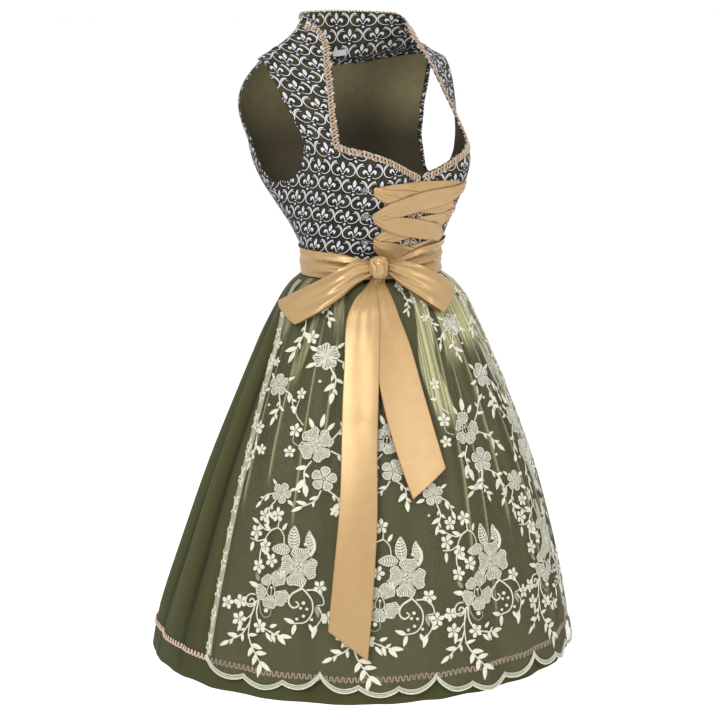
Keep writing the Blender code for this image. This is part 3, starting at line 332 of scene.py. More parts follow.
# ---------------- meshes
class Piece:
    """Gathers walls, cords and patches into one mesh. Flat places, in metres, become its UVs."""

    def __init__(self):
        self.points, self.flats, self.faces, self.slots = [], [], [], []
        self.total = 0

    def add(self, points, flat, faces, slot=0):
        """Adds points with their flat places, and quads that index them."""
        points = np.asarray(points, float).reshape(-1, 3)
        self.points.append(points)
        self.flats.append(np.asarray(flat, float).reshape(-1, 2))
        faces = np.asarray(faces).reshape(-1, 4)
        self.faces.append(faces + self.total)
        self.slots.append(np.broadcast_to(slot, len(faces)))
        self.total += len(points)

    def wall(self, outer, inner, flat, ring=False, slots=(0, 0)):
        """A closed cloth between two grids of points: both faces and a strip along each open
        edge, turned outwards. With ring, the first axis closes on itself."""
        rows, columns = outer.shape[:2]
        index = np.arange(rows * columns).reshape(rows, columns)
        if ring:
            index = np.vstack([index, index[:1]])
        face = np.stack([index[:-1, :-1], index[1:, :-1], index[1:, 1:], index[:-1, 1:]],
                        -1).reshape(-1, 4)
        back = rows * columns
        edges = [index[:, 0], index[:, -1][::-1]]
        if not ring:
            edges += [index[0][::-1], index[-1]]
        rim = np.concatenate([np.stack([e[1:], e[:-1], e[:-1] + back, e[1:] + back], -1)
                              for e in edges])
        faces = np.concatenate([face, face[:, ::-1] + back, rim])
        slot = np.repeat((*slots, slots[0]), (len(face), len(face), len(rim)))
        along = np.diff(outer, axis=0)[:, :-1]
        across = np.diff(outer, axis=1)[:-1]
        if (np.cross(along, across) * (outer - inner)[:-1, :-1]).sum() < 0:
            faces = faces[:, ::-1]
        points = np.concatenate([outer.reshape(-1, 3), inner.reshape(-1, 3)])
        self.add(points, np.concatenate([flat.reshape(-1, 2)] * 2), faces, slot)

    def cords(self, paths, radius, up=UP, sides=6, closed=False, slot=0, flatten=1.0):
        """Round cords along paths (cords, points, 3): a ring of points about each path point, in
        the plane of up and of the path's side, with both ends covered unless it is closed.
        flatten squashes a cord along up."""
        paths = np.asarray(paths, float)
        if paths.ndim == 2:
            paths = paths[None]
        count, length = paths.shape[:2]
        along = unit(np.roll(paths, -1, 1) - np.roll(paths, 1, 1) if closed
                     else np.gradient(paths, axis=1))
        side = unit(np.cross(along, np.broadcast_to(up, paths.shape)))
        up = np.cross(side, along)
        radius = np.broadcast_to(radius, paths.shape[:2])[..., None, None]
        turn = circle(sides)[:, None]
        ring = paths[:, :, None] + radius * (np.cos(turn) * side[:, :, None]
                                             + np.sin(turn) * up[:, :, None] * flatten)
        index = np.arange(count * length * sides).reshape(count, length, sides)
        if closed:
            index = np.concatenate([index, index[:, :1]], 1)
        index = np.concatenate([index, index[..., :1]], -1)
        faces = [np.stack([index[:, :-1, :-1], index[:, :-1, 1:], index[:, 1:, 1:],
                           index[:, 1:, :-1]], -1).reshape(-1, 4)]
        for end, order in () if closed else ((0, -1), (-1, 1)):
            faces += [index[:, end, [0, k, k + 1, k + 2]][:, ::order]
                      for k in range(1, sides - 2, 2)]
        run = lengths(paths.swapaxes(0, 1)).T
        flat = np.stack(np.broadcast_arrays(run[:, :, None],
                                            np.linspace(0, 1, sides) * 2 * math.pi * 0.001), -1)
        self.add(ring, flat, np.concatenate(faces)[:, ::-1], slot)

    def beads(self, middles, radius, up=UP, flatten=0.8):
        """Small round beads: each a ball of four rings of six points, squashed along up."""
        middles = np.asarray(middles, float).reshape(-1, 3)
        up = np.broadcast_to(up, middles.shape)
        step = np.array([-0.98, -0.5, 0.5, 0.98])[None, :, None] * radius
        paths = middles[:, None] + step * up[:, None] * flatten
        side = np.cross(up, (0.31, 0.52, 0.79))
        self.cords(paths, np.array([0.25, 0.87, 0.87, 0.25]) * radius,
                   np.broadcast_to(side[:, None], paths.shape))

    def make(self, name, looks, slot, seen=True, sharp=40, told=None, **sheet):
        """The finished object, riding on the body. Where it is seen for the solid of its name, it
        stands for it."""
        points, faces, flats, slots = map(np.concatenate, (self.points, self.faces, self.flats,
                                                           self.slots))
        mesh = bpy.data.meshes.new(name)
        mesh.vertices.add(len(points))
        mesh.vertices.foreach_set("co", points.astype(np.float32).ravel())
        mesh.loops.add(faces.size)
        mesh.loops.foreach_set("vertex_index", faces.astype(np.int32).ravel())
        mesh.polygons.add(len(faces))
        mesh.polygons.foreach_set("loop_start", np.arange(0, faces.size, 4, dtype=np.int32))
        mesh.polygons.foreach_set("material_index", slots.astype(np.int32))
        mesh.update(calc_edges=True)
        mesh.uv_layers.new(name="flat")
        mesh.uv_layers["flat"].data.foreach_set("uv", flats[faces.ravel()].astype(np.float32)
                                                .ravel())
        mesh.validate()
        for look in looks:
            mesh.materials.append(look)
        mesh.shade_smooth()
        mesh.set_sharp_from_angle(angle=math.radians(sharp))
        for key, values in (told or {}).items():
            layer = mesh.attributes.new(key, "FLOAT", "POINT")
            layer.data.foreach_set("value", values.astype(np.float32))
        piece = bpy.data.objects.new(name + "_seen" * seen, mesh)
        bpy.context.scene.collection.objects.link(piece)
        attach(piece, "root")
        if seen:
            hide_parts(name)


def facing(grid, ring=False):
    """Unit normals of a grid of points, pointing away from the body's axis."""
    along = np.roll(grid, -1, 0) - np.roll(grid, 1, 0) if ring else np.gradient(grid, axis=0)
    normal = unit(np.cross(along, np.gradient(grid, axis=1)))
    outward = (normal[..., :2] * (grid[..., :2] - (0.0, SKIRT_CENTRE))).sum() > 0
    return normal if outward else -normal


def normals_of(form, theta, height):
    """Outward unit normals of a surface given as a function of angle and height."""
    tiny = 1e-3
    across = form(theta + tiny, height) - form(theta - tiny, height)
    return unit(np.cross(across, form(theta, height + tiny) - form(theta, height - tiny)))


def mirrored(grid):
    """The same points on the other side of the body."""
    return grid * (-1.0, 1.0, 1.0)


def spread(grid):
    """Flat places of a grid whose lines run straight: lengths along each line from the middle of
    the first axis, and along the middle line of the second."""
    u = lengths(grid)
    return np.stack([u - u[len(u) // 2], np.broadcast_to(lengths(grid[len(grid) // 2]), u.shape)],
                    -1)


def laid_flat(theta, level, start=0.0):
    """Flat places of points on the torso: the length round the body from the start angle at the
    point's own level, and the length up from the waist at the point's own angle."""
    share = np.linspace(0, 1, 33).reshape((-1,) + (1,) * theta.ndim)
    u, v = (lengths(path)[-1] for path in (
        torso(start + (theta - start) * share, level + 0 * share),
        torso(theta + 0 * share, WAIST + (level - WAIST) * share)))
    return np.stack([u * np.sign(theta - start), v + WAIST], -1)


# ---------------- shader maths
class Wire:
    """A number or colour on its way through a material. The usual signs add Math nodes."""

    def __init__(self, look, socket):
        self.look, self.socket = look, socket

    def math(self, operation, *others):
        return self.look.node("Math", (self, *others), operation=operation)

    def __rsub__(self, other):
        return self.look.node("Math", (other, self), operation="SUBTRACT")

    def __neg__(self):
        return self * -1.0

    __add__ = __radd__ = partialmethod(math, "ADD")
    __sub__ = partialmethod(math, "SUBTRACT")
    __mul__ = __rmul__ = partialmethod(math, "MULTIPLY")
    __truediv__ = partialmethod(math, "DIVIDE")
    __pow__ = partialmethod(math, "POWER")
    __abs__ = partialmethod(math, "ABSOLUTE")
    sine = partialmethod(math, "SINE")
    round = partialmethod(math, "ROUND")

    def least(self, *others):
        """The smallest of this number and the others."""
        return reduce(lambda one, other: one.math("MINIMUM", other), others, self)

    def most(self, *others):
        """The largest of this number and the others."""
        return reduce(lambda one, other: one.math("MAXIMUM", other), others, self)

    def rise(self, low, high, start=0.0, end=1.0):
        """Goes smoothly from start, at low, to end, at high."""
        return self.look.node("MapRange", (self, low, high, start, end),
                              interpolation_type="SMOOTHSTEP")


class Look:
    """One material: its Principled shader and the nodes that feed it. Fixed values of the shader
    are given by name."""

    def __init__(self, name, **fixed):
        self.material = bpy.data.materials.new(name)
        self.material.use_nodes = True
        self.tree = self.material.node_tree
        self.shader = self.tree.nodes["Principled BSDF"]
        for socket, value in fixed.items():
            self.shader.inputs[socket.replace("_", " ")].default_value = value

    def node(self, kind, inputs=(), out=0, **settings):
        """A node of this kind: its settings first, then its sockets' values or links."""
        made = self.tree.nodes.new("ShaderNode" + kind)
        for key, value in settings.items():
            setattr(made, key, value)
        for key, value in (inputs.items() if isinstance(inputs, dict) else enumerate(inputs)):
            if isinstance(value, Wire):
                self.tree.links.new(value.socket, made.inputs[key])
            else:
                made.inputs[key].default_value = value
        return Wire(self, made.outputs[out])

    def feed(self, **sockets):
        """Links what changes over the surface to the shader's sockets."""
        for name, value in sockets.items():
            self.tree.links.new(value.socket, self.shader.inputs[name.replace("_", " ")])
        return self.material

    def flat(self):
        """The cloth's flat place, as two numbers in millimetres."""
        place = self.node("UVMap", uv_map="flat")
        return [self.node("SeparateXYZ", (place,), out=k) * 1000.0 for k in (0, 1)]

    def place(self):
        """The point's place on the object."""
        return self.node("TexCoord", out=3)

    def height(self):
        """The point's height on the object."""
        return self.node("SeparateXYZ", (self.place(),), out=2)

    def told(self, name):
        """A number that the mesh has for each of its points."""
        return self.node("Attribute", attribute_name=name, out=2)

    def noise(self, where, scale, detail=2.0, rough=0.5):
        return self.node("TexNoise", {"Vector": where, "Scale": scale, "Detail": detail,
                                      "Roughness": rough})

    def point(self, x, y, z=0.0):
        return self.node("CombineXYZ", (x, y, z))

    def mix(self, share, one, two):
        """Colour one, with a share of colour two laid over it."""
        one, two = (c if isinstance(c, Wire) else (*c, 1.0) for c in (one, two))
        return self.node("Mix", {0: share, 6: one, 7: two}, out=2, data_type="RGBA")

    def relief(self, height, distance, strength):
        """A bump of this height in metres."""
        return self.node("Bump", {"Strength": strength, "Distance": distance, "Height": height})


def weave(look, u, v, pitch, uneven=0.3):
    """Height of a plain weave, from 0 to 1: the larger of two rows of rounded threads, each
    waxing while the other wanes, with a little unevenness."""
    wobble = look.noise(look.point(u, v), 0.9 / pitch, 1.0) * uneven
    turn = 2 * math.pi / pitch
    warp, weft = (u * turn).sine(), (v * turn).sine()
    return warp * weft * 0.5 + 0.5 + wobble


def fleur(look, x, y):
    """Signed distance in millimetres from the white of one repeat: a lily of three petals over a
    band and a star, in a cup of two scrolls. One half is drawn and mirrored. Petals are where
    circles overlap, and scrolls are rings cut by a straight line. Also the distance from the
    middle petal's vein."""
    x = abs(x)
    spot = look.point(x, y)

    def circle(cx, cy, radius):
        return look.node("VectorMath", (spot, (cx, cy, 0.0)), out=1,
                         operation="DISTANCE") - radius

    def beyond(nx, ny, reach):
        """Distance beyond a straight line, positive on the side that is cut away."""
        return reach - look.node("VectorMath", (spot, (nx, ny, 0.0)), out=1,
                                 operation="DOT_PRODUCT")

    blade = circle(-5.8, 9.6, 8.6)
    stroke = (abs(beyond(0.784, -0.620, 1.5)) - 0.75).most(circle(3.3, 1.9, 3.0))
    petal = circle(7.2, 3.0, 3.6).most(-circle(5.2, 0.4, 2.6), beyond(0, 1.0, -0.8)) \
        .least(stroke).most(1.45 - blade)
    band = (x - 2.0).most(abs(y + 3.0) - 0.75)
    star = ((x + 0.05) ** 0.62 + (abs(y + 8.6) + 0.05) ** 0.62) - 2.2
    scroll = circle(9.6, 4.7, 11.65).most(-circle(9.25, 4.25, 10.25), beyond(0.960, -0.283, 5.8))
    bulb = circle(11.4, 14.9, 1.2)
    leaf = (abs(circle(11.2, 5.0, 7.3)) - 0.38).most(beyond(0.45, 0.893, 14.2))
    vein = (x - 0.5).most(blade + 1.6)
    return blade.least(petal, band, star * 1.5, scroll, bulb, leaf), vein


def print_cotton():
    """Printed cotton: white lilies in scrolled cups, staggered row by row, each thinly outlined in
    black on a mottled olive ground, over a plain weave. The ground's paler mottle grows stronger
    higher up the bodice as a painted light."""
    look = Look("print_cotton", Roughness=0.75, Specular_IOR_Level=0.2)
    u, v = look.flat()
    wide, tall = 43.0, 54.0
    drawn = []
    for shift in (0.0, 0.5):
        x, y = (place - (place / repeat).round() * repeat
                for place, repeat in ((u - shift * wide, wide), (v - shift * tall, tall)))
        drawn.append(fleur(look, x, y - 4.0))
    distance, vein = (one.least(other) for one, other in zip(*drawn))
    spot = look.point(u, v)
    # the print's own paler mottle, with painted light: it is strongest higher up the bodice
    mottle_and_painted_light = look.noise(spot, 0.055, 3.0, 0.6).rise(0.36, 0.64) \
        * look.height().rise(-0.27, -0.10, 0.3)
    speck = look.noise(spot, 0.35, 3.0, 0.65).rise(0.35, 0.65)
    ground = look.mix(mottle_and_painted_light, (0.0062, 0.0068, 0.0030), (0.044, 0.041, 0.0095))
    ground = look.mix(speck * 0.55, ground, (0.012, 0.011, 0.005))
    dark = look.mix(distance.rise(1.5, 0.8), ground, (0.002, 0.002, 0.002))
    pale = look.mix(vein.rise(0.4, -0.4) * 0.6, (0.46, 0.45, 0.475), (0.20, 0.19, 0.22))
    colour = look.mix(distance.rise(0.12, -0.12), dark, pale)
    threads = weave(look, u, v, 0.45)
    colour = look.mix(threads * 0.12, colour, (0.0, 0.0, 0.0))
    return look.feed(Base_Color=colour, Normal=look.relief(threads, 0.00012, 0.6))


def satin(name, deep, light, rough=0.38, pitch=0.35, cloud=0.06, shine=0.5,
          metal=0.0, low=None, folded=False):
    """Satin: two near shades clouded along its length, with fine floats along its run. Low is a
    painted shade: the colour it darkens to lower down inside the bodice. Folded cloth gets painted
    shade in its furrows and a painted sheen on its ridges, from the mesh's fold attribute."""
    look = Look(name, Anisotropic=0.5, Specular_IOR_Level=shine, Metallic=metal,
                Specular_Tint=(*(min(c / max(light) * 0.6 + 0.4, 1.0) for c in light), 1.0))
    u, v = look.flat()
    streak = look.noise(look.point(u * 0.25, v * 6.0), 0.25 / pitch, 2.0)
    clouds = look.noise(look.point(u, v), cloud, 3.0).rise(0.3, 0.7)
    colour = look.mix(clouds, deep, light)
    # painted shade: the lining darkens to its low colour lower down inside the bodice
    if low:
        colour = look.mix(look.height().rise(-0.03, -0.15), colour, low)
    # painted shade in the furrows of the folds and painted sheen on their ridges, from the fold
    # depth
    if folded:
        fold = look.told("fold")
        colour = look.mix(fold.rise(0.0, -0.9) * 0.8, colour, tuple(c * 0.38 for c in deep))
        colour = look.mix(fold.rise(0.0, 0.9) * 0.7, colour, tuple(c * 1.45 for c in light))
    colour = look.mix(streak.rise(0.3, 0.7) * 0.18, colour, tuple(c * 0.55 for c in deep))
    threads = weave(look, u * 0.35, v, pitch, 0.5)
    return look.feed(Base_Color=colour, Roughness=streak.rise(0.2, 0.8, rough - 0.05, rough + 0.07),
                     Normal=look.relief(threads, 0.00008, 0.35))


def net():
    """Sheer net: sage threads round small round holes. Most of it is see-through, less so where
    folds press layers together, which the mesh's dense attribute gives."""
    look = Look("apron_net", Roughness=0.8, Specular_IOR_Level=0.2)
    u, v = look.flat()
    turn = 2 * math.pi / 1.15
    threads = abs((u * turn).sine() * (v * turn * 0.9).sine()).rise(0.55, 0.15)
    dense = look.told("dense")
    cloud = look.noise(look.point(u, v * 0.22), 0.020, 2.0).rise(0.3, 0.7)
    cover = (threads * 0.07 + 0.13) + cloud * 0.10 + dense * 0.42
    colour = look.mix(dense, (0.108, 0.104, 0.056), (0.50, 0.48, 0.26))
    return look.feed(Base_Color=colour, Alpha=cover)


def thread_work(name, colour, shade, pitch=0.62, wound=0.0, depth=0.4):
    """Lustrous thread: stitches side by side across a shape, or wound round a cord's core. The
    gaps between them are darker."""
    look = Look(name, Specular_IOR_Level=0.4)
    u, v = look.flat()
    across = (u + v * 0.4) if wound else v + look.noise(look.point(u, v), 0.5, 2.0) * 0.6
    lines = (across * (2 * math.pi / pitch)).sine() * 0.5 + 0.5
    patch = look.noise(look.place(), 420.0, 3.0, 0.7).rise(0.36, 0.64)
    tint = look.mix(patch * 0.7, colour, shade)
    tint = look.mix(lines.rise(0.75, 0.1) * depth, tint, tuple(c * 0.4 for c in shade))
    return look.feed(Base_Color=tint, Roughness=lines.rise(0.0, 1.0, 0.65, 0.45),
                     Normal=look.relief(lines, 0.00025, 0.7))


def cast_silver():
    """Cast silver: bright, and darkened in patches at random."""
    look = Look("cast_silver", Metallic=1.0)
    grain = look.noise(look.place(), 900.0, 3.0)
    worn = look.noise(look.place(), 260.0, 2.0).rise(0.35, 0.65)
    colour = look.mix(worn, (0.16, 0.16, 0.16), (0.50, 0.50, 0.51))
    return look.feed(Base_Color=colour, Roughness=worn.rise(0.0, 1.0, 0.45, 0.24),
                     Normal=look.relief(grain, 0.0001, 0.4))


def plain_weave(name, colour, shade, rough, pitch=0.6):
    """A plain woven tape or tab."""
    look = Look(name, Roughness=rough)
    u, v = look.flat()
    threads = weave(look, u, v, pitch)
    cloud = look.noise(look.point(u, v), 0.2, 3.0).rise(0.3, 0.7)
    tint = look.mix(cloud, colour, shade)
    tint = look.mix(threads * 0.15, tint, tuple(c * 0.6 for c in shade))
    return look.feed(Base_Color=tint, Normal=look.relief(threads, 0.0002, 0.6))


# ---------------- finishes
PRINT = print_cotton()
# low is the lining's painted shade lower down inside the bodice
LINING = satin("lining_satin", (0.148, 0.128, 0.069), (0.170, 0.148, 0.082), rough=0.6,
               shine=0.12, low=(0.036, 0.030, 0.018))
# folded=True paints shade in the skirt's furrows and sheen on its ridges
SKIRT = satin("skirt_satin", (0.0350, 0.0360, 0.0140), (0.0395, 0.0410, 0.0165), rough=0.58,
              cloud=0.008, shine=0.07, folded=True)
RIBBON = satin("ribbon_satin", (0.300, 0.192, 0.083), (0.318, 0.208, 0.093), rough=0.31,
               pitch=0.3, shine=0.7, metal=0.22)
RIBBON_BACK = satin("ribbon_back", (0.23, 0.11, 0.034), (0.27, 0.14, 0.05), rough=0.6, shine=0.2)
RIBBON_EDGE = plain_weave("ribbon_edge", (0.27, 0.125, 0.04), (0.22, 0.10, 0.03), 0.6, 0.8)
NET = net()
THREAD = thread_work("cream_embroidery", (0.63, 0.615, 0.505), (0.36, 0.35, 0.265), 0.9)
FILLING = thread_work("embroidery_filling", (0.60, 0.59, 0.495), (0.19, 0.185, 0.125), 2.4, 0.0,
                      0.95)
HEMMED = thread_work("hemmed_net", (0.29, 0.285, 0.195), (0.20, 0.20, 0.13), 1.1)
SAGE = thread_work("sage_embroidery", (0.22, 0.225, 0.145), (0.15, 0.155, 0.095), 0.9)
BEIGE = thread_work("beige_gimp", (0.38, 0.255, 0.185), (0.28, 0.17, 0.12), 0.7, 1.0)
CREAM = thread_work("cream_gimp", (0.45, 0.37, 0.25), (0.36, 0.28, 0.18), 0.7, 1.0)
ROSE = thread_work("rose_gimp", (0.60, 0.455, 0.37), (0.44, 0.30, 0.235), 0.7, 1.0)
SILVER = cast_silver()
LABEL = plain_weave("label_cloth", (0.46, 0.46, 0.45), (0.40, 0.40, 0.39), 0.7, 0.4)
TAPE = plain_weave("zip_tape_cloth", (0.010, 0.010, 0.008), (0.007, 0.007, 0.006), 0.7)
TEETH = plain_weave("zip_teeth", (0.012, 0.012, 0.011), (0.02, 0.02, 0.018), 0.3, 0.9)


# ---------------- bodice
# Creases of the bodice: u is degrees * 2.4 round the body, and v is the height in mm.
BODICE_CREASES = (
    (215, -205, 130, -255, 7, 1.1), (205, -222, 140, -285, 6, -0.9), (235, -240, 175, -300, 8, 1),
    (245, -262, 190, -325, 6, -0.8), (85, -290, 120, -335, 6, 0.6),
    (180, -150, 160, -190, 6, -0.7), (175, -105, 150, -160, 8, 0.8),
    (140, -60, 165, -110, 7, -0.8), (105, -30, 130, -75, 7, 0.8), (60, -165, 105, -185, 6, -0.5),
    (-225, -210, -140, -262, 7, 1.1), (-210, -230, -150, -300, 6, -1),
    (-245, -245, -185, -312, 8, 1), (-180, -145, -165, -190, 6, -0.7),
    (-170, -100, -152, -155, 8, 0.9), (-135, -55, -160, -105, 7, -0.8),
    (-100, -25, -130, -70, 7, 0.8), (-65, -170, -110, -190, 6, -0.5),
    (300, -200, 380, -150, 9, 1.2), (320, -235, 400, -200, 8, -1),
    (-310, -195, -385, -150, 9, 1.2), (-330, -240, -405, -210, 8, -1), (400, -120, 350, -60, 9, 1),
    (-400, -110, -345, -55, 9, 1), (360, -330, 345, -250, 8, -0.8),
    (-360, -330, -342, -260, 8, -0.8),
)


def bodice_lift(theta, level):
    """How far the bodice's cloth stands off its smooth form."""
    return creases(np.degrees(theta) * 0.0024, level, BODICE_CREASES)


def beside(theta, level, run, width):
    """Angle and level of the points that lie a width beside a line on the torso, square to its
    run: the step is solved from the surface's own two directions."""
    tiny = 1e-4
    here = torso(theta, level)
    by_angle = (torso(theta + tiny, level) - here) / tiny
    by_level = (torso(theta, level - tiny) - here) / -tiny
    side = np.cross(unit(run), unit(np.cross(by_angle, by_level))) * width
    a, b, c = ((p * q).sum(-1) for p, q in ((by_angle, by_angle), (by_angle, by_level),
                                            (by_level, by_level)))
    d, e = ((side * p).sum(-1) for p in (by_angle, by_level))
    scale = a * c - b * b
    return theta + (d * c - e * b) / scale, level + (e * a - d * b) / scale


def ridge_normal(line):
    """Normals along the shoulder seam, square to it and with nothing forwards or backwards."""
    run = np.gradient(line, axis=0)
    normal = unit(np.stack([-run[:, 2], np.zeros(len(run)), run[:, 0]], -1))
    return np.where(normal[:, 2:3] < 0, -normal, normal)


def rows_of(edges):
    """How far up each row of a panel lies: the solid's rows, each gap split in four."""
    marks = edges.rows[:, 0]
    between = (marks[:-1] + marks[1:])[marks[:-1] > 0.5] / 2
    rows = np.sort(np.concatenate([marks, between]))
    return np.interp(np.arange(0, len(rows) - 0.99, 0.25), np.arange(len(rows)), rows)


def lean_out(theta):
    """The way the neck's cloth faces at these angles: outwards and up."""
    return np.stack([0.7 * np.sin(theta), -0.7 * np.cos(theta), 0.714 + 0 * theta], -1)


def front_cloth(side):
    """Points, normals and flat places of a front panel, from its inner edge to its outer edge and
    from the waist to the shoulder seam. Its first columns span the braid's width."""
    rise = rows_of(FRONT_EDGES)
    inner_angle, inner_level, outer_angle, outer_level = FRONT_EDGES(rise)
    inner = np.stack([np.radians(inner_angle), inner_level])
    outer = np.stack([np.radians(outer_angle), outer_level])
    beyond = np.stack(beside(*inner, np.gradient(torso(*inner), axis=0), BRAID_WIDTH))
    near = np.linspace(0, 1, BRAID_COLUMNS + 1)[:-1, None, None]
    across = np.linspace(0, 1, 45)[:, None, None]
    theta, level = np.moveaxis(np.concatenate([inner + (beyond - inner) * near,
                                               beyond + (outer - beyond) * across]), 1, 0)
    grid = torso(theta, level)
    normal = facing(grid)
    normal[:, -1] = ridge_normal(grid[:, -1])
    grid = grid + (0.0, -SEAM / 2, 0.0) + normal * bodice_lift(side * theta, level)[..., None]
    flat = laid_flat(theta, level)
    if side < 0:
        return mirrored(grid), mirrored(normal), flat * (-1, 1) + (0.013, 0.004), rise
    return grid, normal, flat, rise


def back_cloth():
    """Points, normals and flat places of the back panel, from the wearer's right side seam round
    to the left and from the waist up to the shoulder seams and the collar."""
    rise = rows_of(BACK_EDGES)
    outer_angle, outer_level, centre_level = BACK_EDGES(rise)
    across = np.linspace(0, 1, 41)[:, None]
    theta = np.radians(outer_angle + (180 - outer_angle) * across)
    level = outer_level + (centre_level - outer_level) * across
    theta = np.vstack([-theta, theta[-2::-1]])
    level = np.vstack([level, level[-2::-1]])
    grid = torso(theta, level)
    grid[len(grid) // 2, :, 0] = 0.0
    under = rise > 0.9
    floor = 0.002 + 0.005 * np.clip((1 - rise[under]) / 0.05, 0, 1)
    grid[:, under, 1] = np.maximum(grid[:, under, 1], floor)
    normal = facing(grid)
    share = np.clip((np.degrees(np.abs(theta[:, -1])) - NECK_POINT) / 12 + 0.5, 0, 1)[:, None]
    normal[:, -1] = unit(ridge_normal(grid[:, -1]) * (1 - share) + lean_out(theta[:, -1]) * share)
    grid = grid + (0.0, SEAM / 2, 0.0) + normal * bodice_lift(theta, level)[..., None]
    return grid, normal, laid_flat(theta, level, np.where(theta > 0, math.pi, -math.pi)), rise


def edged(piece, line, normal, radius=0.00065):
    """The overcast edge of a ribbon: a fine cord of darker thread along it."""
    piece.cords(line, radius, normal, sides=5, slot=1)


def stitched(piece, line, normal, slot, length=0.0026, gap=0.0014):
    """A row of stitches along a line, each a short fine cord that dips at both ends."""
    run = lengths(line)
    start = np.arange(0.002, run[-1] - length, length + gap)
    at = start[:, None] + np.array([0.0, 0.5, 1.0]) * length
    up = sample(normal, run, at)
    lift = np.array([-0.0001, 0.00025, -0.0001])[:, None]
    piece.cords(sample(line, run, at) + up * lift, 0.00022, up, sides=4, slot=slot)


def panel(name, cloth, armholes, cut, area):
    """A printed panel of the bodice. Each armhole has a turned edge, a cord of the cloth's own
    finish along one of the panel's lines, and stitches along another."""
    grid, normal, flat, rise = cloth
    piece = Piece()
    piece.wall(grid, grid - normal * CLOTH, flat)
    open_rows = rise >= 0.40
    for edge, inside in armholes:
        out = normal[edge, open_rows]
        piece.cords(grid[edge, open_rows] - out * CLOTH / 2, 0.0011, out)
        stitched(piece, grid[inside, open_rows], normal[inside, open_rows], 1)
    piece.make(f"bodice_{name}", (PRINT, TAPE), "print", flat=cut, held="hung", area=area,
               rests_on=["waist_sash"])


def lining(name, cloth, part, phase, cut, area):
    """The lining under a part of a panel, with slow slack waves that only take it further in."""
    grid, out, flat = (values[part] for values in cloth[:3])
    wave = np.sin(grid[..., 0] * 70 + grid[..., 2] * 38 + phase) * np.sin(grid[..., 2] * 55 - 1)
    outer = grid - out * (CLOTH + LAID + 0.0004 * (1 + wave))[..., None]
    piece = Piece()
    piece.wall(outer, outer - out * LINING_WALL, flat)
    piece.make(f"lining_{name}", (LINING,), "lining", flat=cut, held="hung", area=area,
               rests_on=[f"bodice_{name}"])


def bodice():
    """The two fronts with the braids along their inner edges, the back, and the linings."""
    for side, word in ((1, "left"), (-1, "right")):
        cloth = front_cloth(side)
        grid, normal, _, rise = cloth
        panel(f"front_{word}", cloth, ((-1, -3),), (0.31, 0.44), 0.066)
        lining(f"front_{word}", cloth, (slice(BRAID_COLUMNS, -1), rise < 0.72), side,
               (0.29, 0.24), 0.05)
        braid = Piece()
        gimp(braid, grid[0, :-1], grid[BRAID_COLUMNS, :-1], normal[2, :-1], lift=0.0004)
        braid.make(f"braid_neck_{word}", (BEIGE, CREAM), "braid")
    cloth = back_cloth()
    panel("back", cloth, ((0, 2), (-1, -3)), (0.42, 0.36), 0.115)
    lining("back", cloth, (slice(1, -1), slice(-6)), 0, (0.41, 0.34), 0.105)


# ---------------- collar, braids and zip
def collar_cloth():
    """Points, normals and flat places of the stand collar: slightly hollow lines from the neck
    base's seam up to the rim."""
    turn = np.linspace(NECK_POINT, 180, 56)
    base = np.stack(TOP_LINE(turn)[:3], -1)[:, None] + (0.0, SEAM / 2, 0.0014)
    rim = np.stack(RIM_LINE(turn), -1)[:, None] + (0.0, SEAM / 2, 0.0)
    up = np.linspace(0, 1, 21)[:, None]
    lean = lean_out(np.radians(turn))
    grid = base * (1 - up) + rim * up - 0.005 * np.sin(math.pi * up) * lean[:, None]
    grid = np.concatenate([mirrored(grid), grid[-2::-1]])
    normal = facing(grid)
    normal[:, 0] = np.concatenate([mirrored(lean), lean[-2::-1]])
    for end in (0, -1):
        normal[end] = ridge_normal(grid[end])
    return grid, normal, spread(grid) * (0.86, 1.0)


def collar():
    """The collar's stand, its rim's braid, the seam tape inside its lower edge and the label."""
    grid, normal, flat = collar_cloth()
    piece = Piece()
    piece.wall(grid, grid - normal * COLLAR_WALL, flat)
    stitched(piece, grid[:, 1] - normal[:, 1] * (COLLAR_WALL + 0.0004), -normal[:, 1], 1)
    piece.make("collar_back", (PRINT, TAPE), "print", flat=(0.215, 0.075), held="hung",
               rests_on=["bodice_back"])
    braid = Piece()
    gimp(braid, grid[2:-2, -4], grid[2:-2, -1], normal[2:-2, -2], top=1.35)
    braid.make("braid_collar", (BEIGE, CREAM), "braid")
    middle = len(grid) // 2
    part, out = (values[middle - 2:middle + 8, 1:5] for values in (grid, normal))
    wave = 0.0003 * np.sin(np.linspace(0, 5, 10))[:, None, None]
    face = part - out * (COLLAR_WALL + LAID + 0.0002 + wave)
    label = Piece()
    label.wall(face - out * 0.0008, face, spread(face))
    stitched(label, face[:, 3] - out[:, 3] * 0.001, -out[:, 3], 0)
    label.make("neck_label", (LABEL,), "label", flat=(0.0185, 0.0115), held="hung",
               rests_on=["collar_back"])


def gimp(piece, low, high, normal, pitch=0.0120, radius=0.00155, lift=0.0008, top=1.0,
         steps=16, strands=((0, 1, 1.0), (1, -1, 0.9)), loose=0.0, swing=0.34):
    """Gimp braid between two edge lines: cords in rounded waves. A second strand mirrors the
    first, so that the two make a chain of links. Each strand has its slot, side and size."""
    run = lengths((low + high) / 2)
    loops = max(int(round(run[-1] / pitch)), 2)
    phi = np.linspace(0, 2 * math.pi * loops, loops * steps + 1)
    even = phi / (2 * math.pi * loops) * run[-1]
    for slot, side, size in strands:
        across = (0.5 + swing * side * np.cos(phi)) * top
        along = np.clip(even + loose * pitch * np.sin(2 * phi), 0, run[-1])
        height = lift + radius * 0.5 + radius * 0.7 * side * np.sin(phi)
        out = unit(sample(normal, run, along))
        near, far = (sample(line, run, along) for line in (low, high))
        path = near + (far - near) * across[:, None] + out * height[:, None]
        piece.cords(path, radius * size, out, slot=slot)


